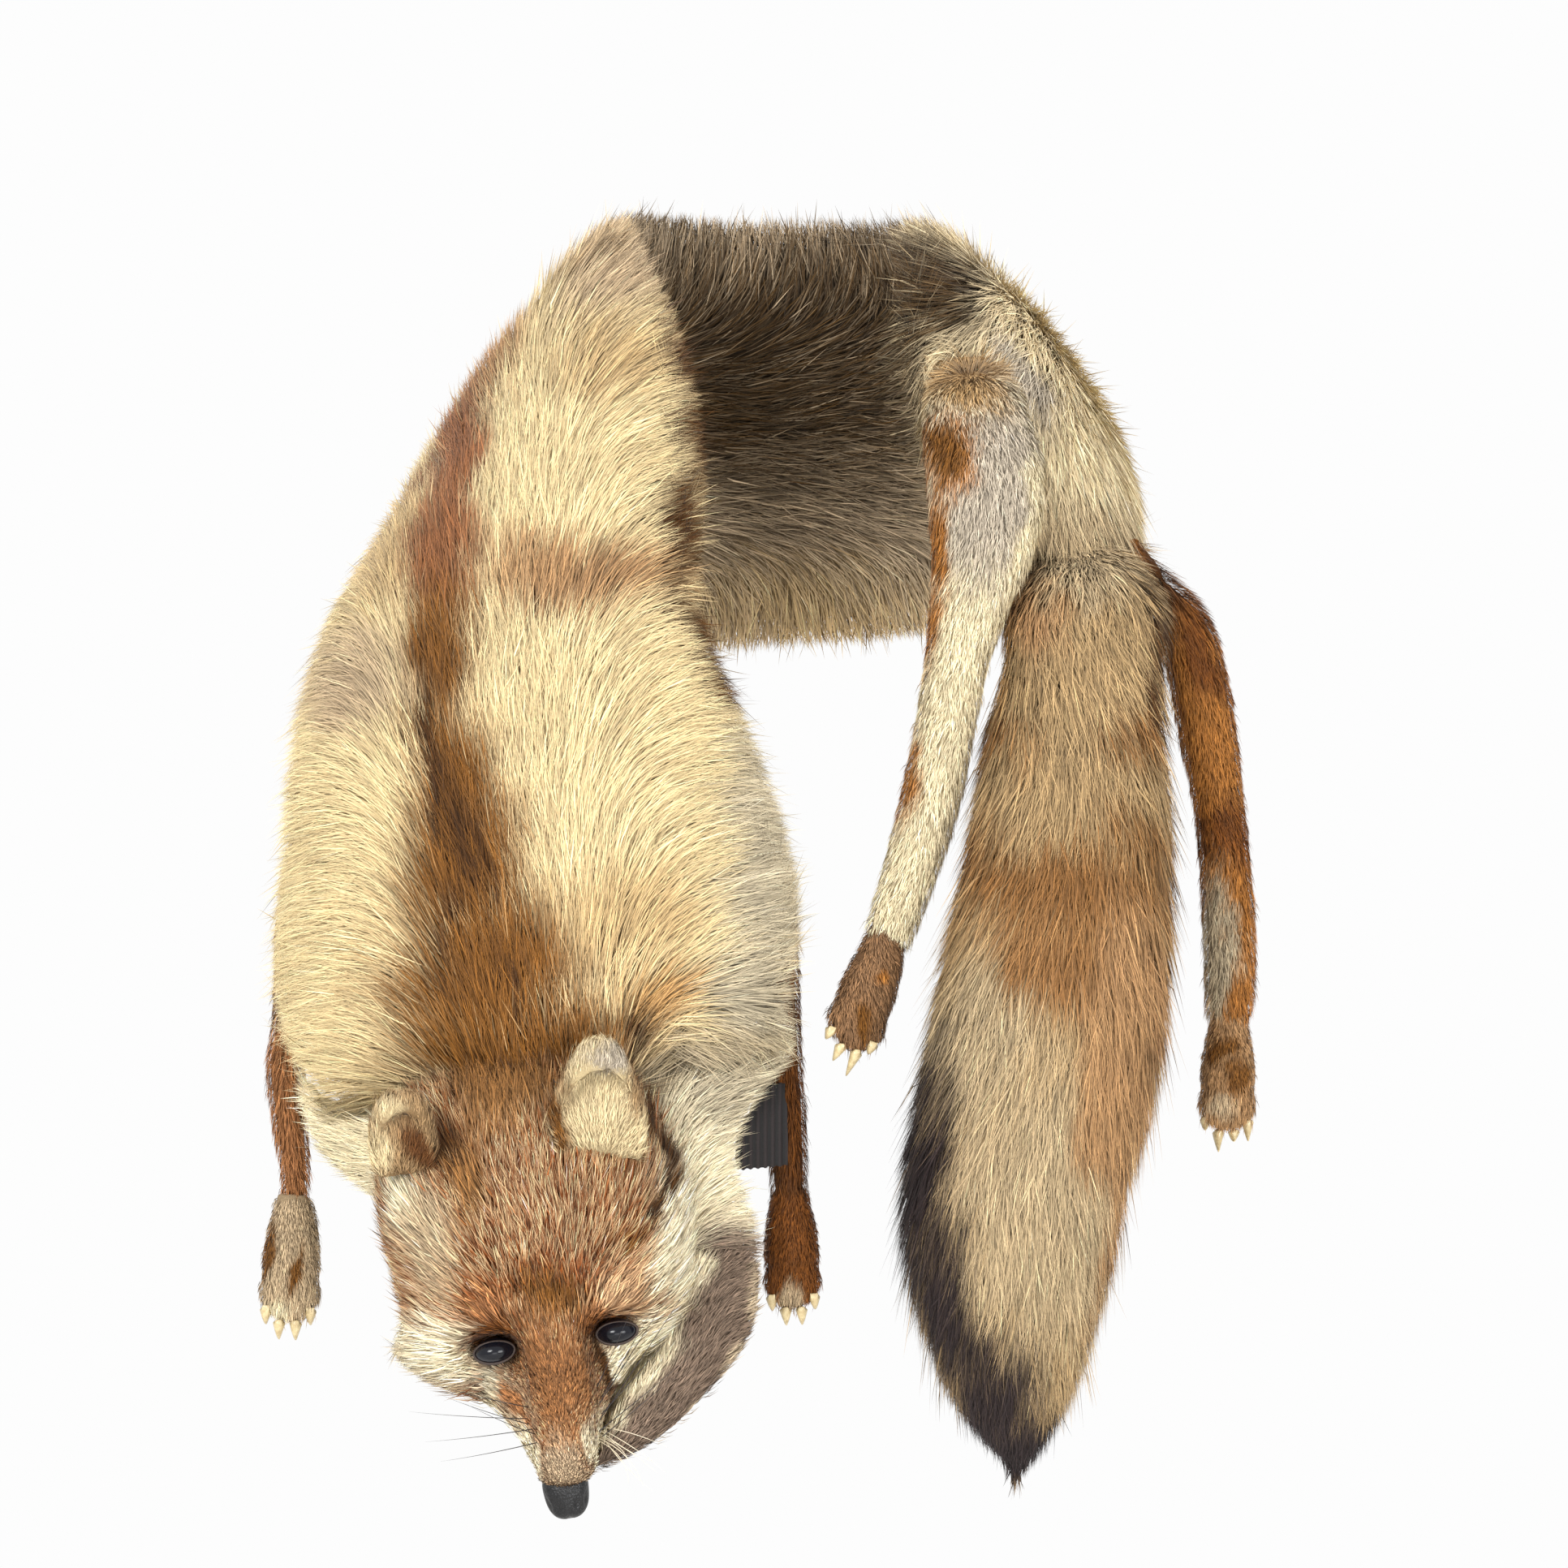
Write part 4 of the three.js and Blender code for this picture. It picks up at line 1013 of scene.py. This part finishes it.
for number, (name, (base, marks)) in enumerate(PAWS.items()):
    low, high = (np.array(corner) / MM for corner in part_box(name))
    middle = (low + high) / 2
    line = [(middle[0], middle[1], high[2], 9), (middle[0], middle[1], low[2], 12)]
    paw_skin = skin_under(name, lambda points: np.clip(2.6 - (points[:, 2] - low[2]) / 12, 1, 2.6), 1.5, 2,
                          drawn_up, line)
    paw_fur = grow_fur(name + "_fur", paw_skin, combed(line, 0.1), coat_of(base, marks),
                       4500, 3.6, (2.5, 8), 0.32, 40 + number, thick=on_fur_side(line, True, False), reach=2)
    put_on(name, paw_skin, paw_fur)

# The claws: ivory horn, streaked darker and lighter, smooth and slightly glossy.
horn = bpy.data.materials.new("ivory_claw_horn")
horn.use_nodes = True
tree = horn.node_tree
tree.nodes.clear()
place = add_node(tree, "ShaderNodeTexCoord")
streak = add_node(tree, "ShaderNodeTexNoise", {"Scale": 1 / (2 * MM), "Detail": 3.0}, {"Vector": place.outputs["Object"]})
shade = add_node(tree, "ShaderNodeValToRGB", {}, {"Fac": streak.outputs["Fac"]})
shade.color_ramp.elements[0].color = (*colour("8d7346"), 1)
shade.color_ramp.elements[1].color = (*colour("e0d0a4"), 1)
shader = add_node(tree, "ShaderNodeBsdfPrincipled", {"Roughness": 0.32, "IOR": 1.54},
                  {"Base Color": shade.outputs["Color"]})
add_node(tree, "ShaderNodeOutputMaterial", {}, {"Surface": shader.outputs["BSDF"]})
# How long each claw shows, from the picture's left to its right; the rest is buried in the fur.
CLAW_SHOWS = {
    "hindclaw_right": (0.5, 0.75, 1.15, 0.5), "hindclaw_left": (0.55, 1.0, 0.5, 1.0),
    "foreclaw_right": (0.75, 0.85, 0.85, 0.7), "foreclaw_left": (0.7, 0.85, 0.85, 0.7),
}
for paw, shares in CLAW_SHOWS.items():
    claws = sorted((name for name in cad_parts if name.startswith(paw)), key=lambda name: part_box(name)[0][0])
    for name, share in zip(claws, shares):
        claw = smooth_copy(name, horn, 1)
        points = np.array([v.co for v in claw.data.vertices])
        top = points[:, 2].max()
        root = points[points[:, 2] > top - 1.5 * MM].mean(axis=0)
        axis = points[points[:, 2].argmin()] - root
        length = np.linalg.norm(axis)
        axis = axis / length
        down = np.clip((points - root) @ axis, 0, length)[:, None]
        out = points - root - down * axis
        points = root + share * down * axis + out * (1.9 - 0.5 * down / length)
        claw.data.vertices.foreach_set("co", points.ravel())

# The loop: a band of dark ribbed elastic under the throat, through which the other end is drawn.
RIB_PITCH = 2.7
elastic = bpy.data.materials.new("ribbed_elastic")
elastic.use_nodes = True
tree = elastic.node_tree
tree.nodes.clear()
place = add_node(tree, "ShaderNodeTexCoord")
rib = add_node(tree, "ShaderNodeTexWave", {"Scale": math.pi / (10 * RIB_PITCH * MM), "Distortion": 0.3},
               {"Vector": place.outputs["Object"]})
knit = add_node(tree, "ShaderNodeTexNoise", {"Scale": 1 / (0.7 * MM), "Detail": 3.0}, {"Vector": place.outputs["Object"]})
shade = add_node(tree, "ShaderNodeValToRGB", {}, {"Fac": rib.outputs["Color"]})
shade.color_ramp.elements[0].color = (*colour("060404"), 1)
shade.color_ramp.elements[1].color = (*colour("1c1414"), 1)
grain = add_node(tree, "ShaderNodeBump", {"Strength": 0.6, "Distance": 0.3 * MM}, {"Height": knit.outputs["Fac"]})
shader = add_node(tree, "ShaderNodeBsdfPrincipled", {"Roughness": 0.85},
                  {"Base Color": shade.outputs["Color"], "Normal": grain.outputs["Normal"]})
add_node(tree, "ShaderNodeOutputMaterial", {}, {"Surface": shader.outputs["BSDF"]})


def ribs(points, normals):
    return -normals * (0.45 + 0.45 * np.cos(2 * math.pi * points[:, 0] / RIB_PITCH))[:, None]


loop_band = bpy.data.objects.new("elastic_loop_band", skin_under("elastic_loop", 0.05, 0.6, 1, ribs)["mesh"])
bpy.context.scene.collection.objects.link(loop_band)
loop_band.data.materials.clear()
loop_band.data.materials.append(elastic)
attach(loop_band, "root")
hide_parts("elastic_loop")

# The ground and light of the room: a pale floor below, and a plain studio all round.
floor_mesh = bpy.data.meshes.new("floor")
FLOOR_HALF, FLOOR_DROP = 4, 1.45
floor_mesh.from_pydata([(x, y, -FLOOR_DROP) for x, y in
                        ((-FLOOR_HALF, -FLOOR_HALF), (FLOOR_HALF, -FLOOR_HALF),
                         (FLOOR_HALF, FLOOR_HALF), (-FLOOR_HALF, FLOOR_HALF))], [], [(0, 1, 2, 3)])
floor = bpy.data.objects.new("floor", floor_mesh)
bpy.context.scene.collection.objects.link(floor)
board = bpy.data.materials.new("matt_white_board")
board.use_nodes = True
board.node_tree.nodes["Principled BSDF"].inputs["Base Color"].default_value = (*colour("e6e4e0"), 1)
board.node_tree.nodes["Principled BSDF"].inputs["Roughness"].default_value = 0.9
floor_mesh.materials.append(board)

world = bpy.data.worlds.new("studio")
bpy.context.scene.world = world
world.use_nodes = True
world.node_tree.nodes["Background"].inputs["Color"].default_value = (*colour("fdfdfd"), 1)
world.node_tree.nodes["Background"].inputs["Strength"].default_value = 1


def soft_box(name, place, width, watts):
    """A square soft light aimed at the middle of the stole."""
    lamp = bpy.data.objects.new(name, bpy.data.lights.new(name, "AREA"))
    bpy.context.scene.collection.objects.link(lamp)
    lamp.data.size = width
    lamp.data.energy = watts
    lamp.location = place
    lamp.rotation_euler = (Vector((0, -0.1, -0.18)) - Vector(place)).to_track_quat("-Z", "Y").to_euler()


soft_box("key", (-1.3, -2.4, 0.6), 1.0, 62)
soft_box("fill", (1.5, -2.3, -0.3), 1.2, 44)
soft_box("low", (0.1, -2.5, -1.2), 1.2, 14)
soft_box("top", (0.2, 0.2, 2.0), 1.2, 20)

bpy.context.scene.view_settings.view_transform = "Standard"
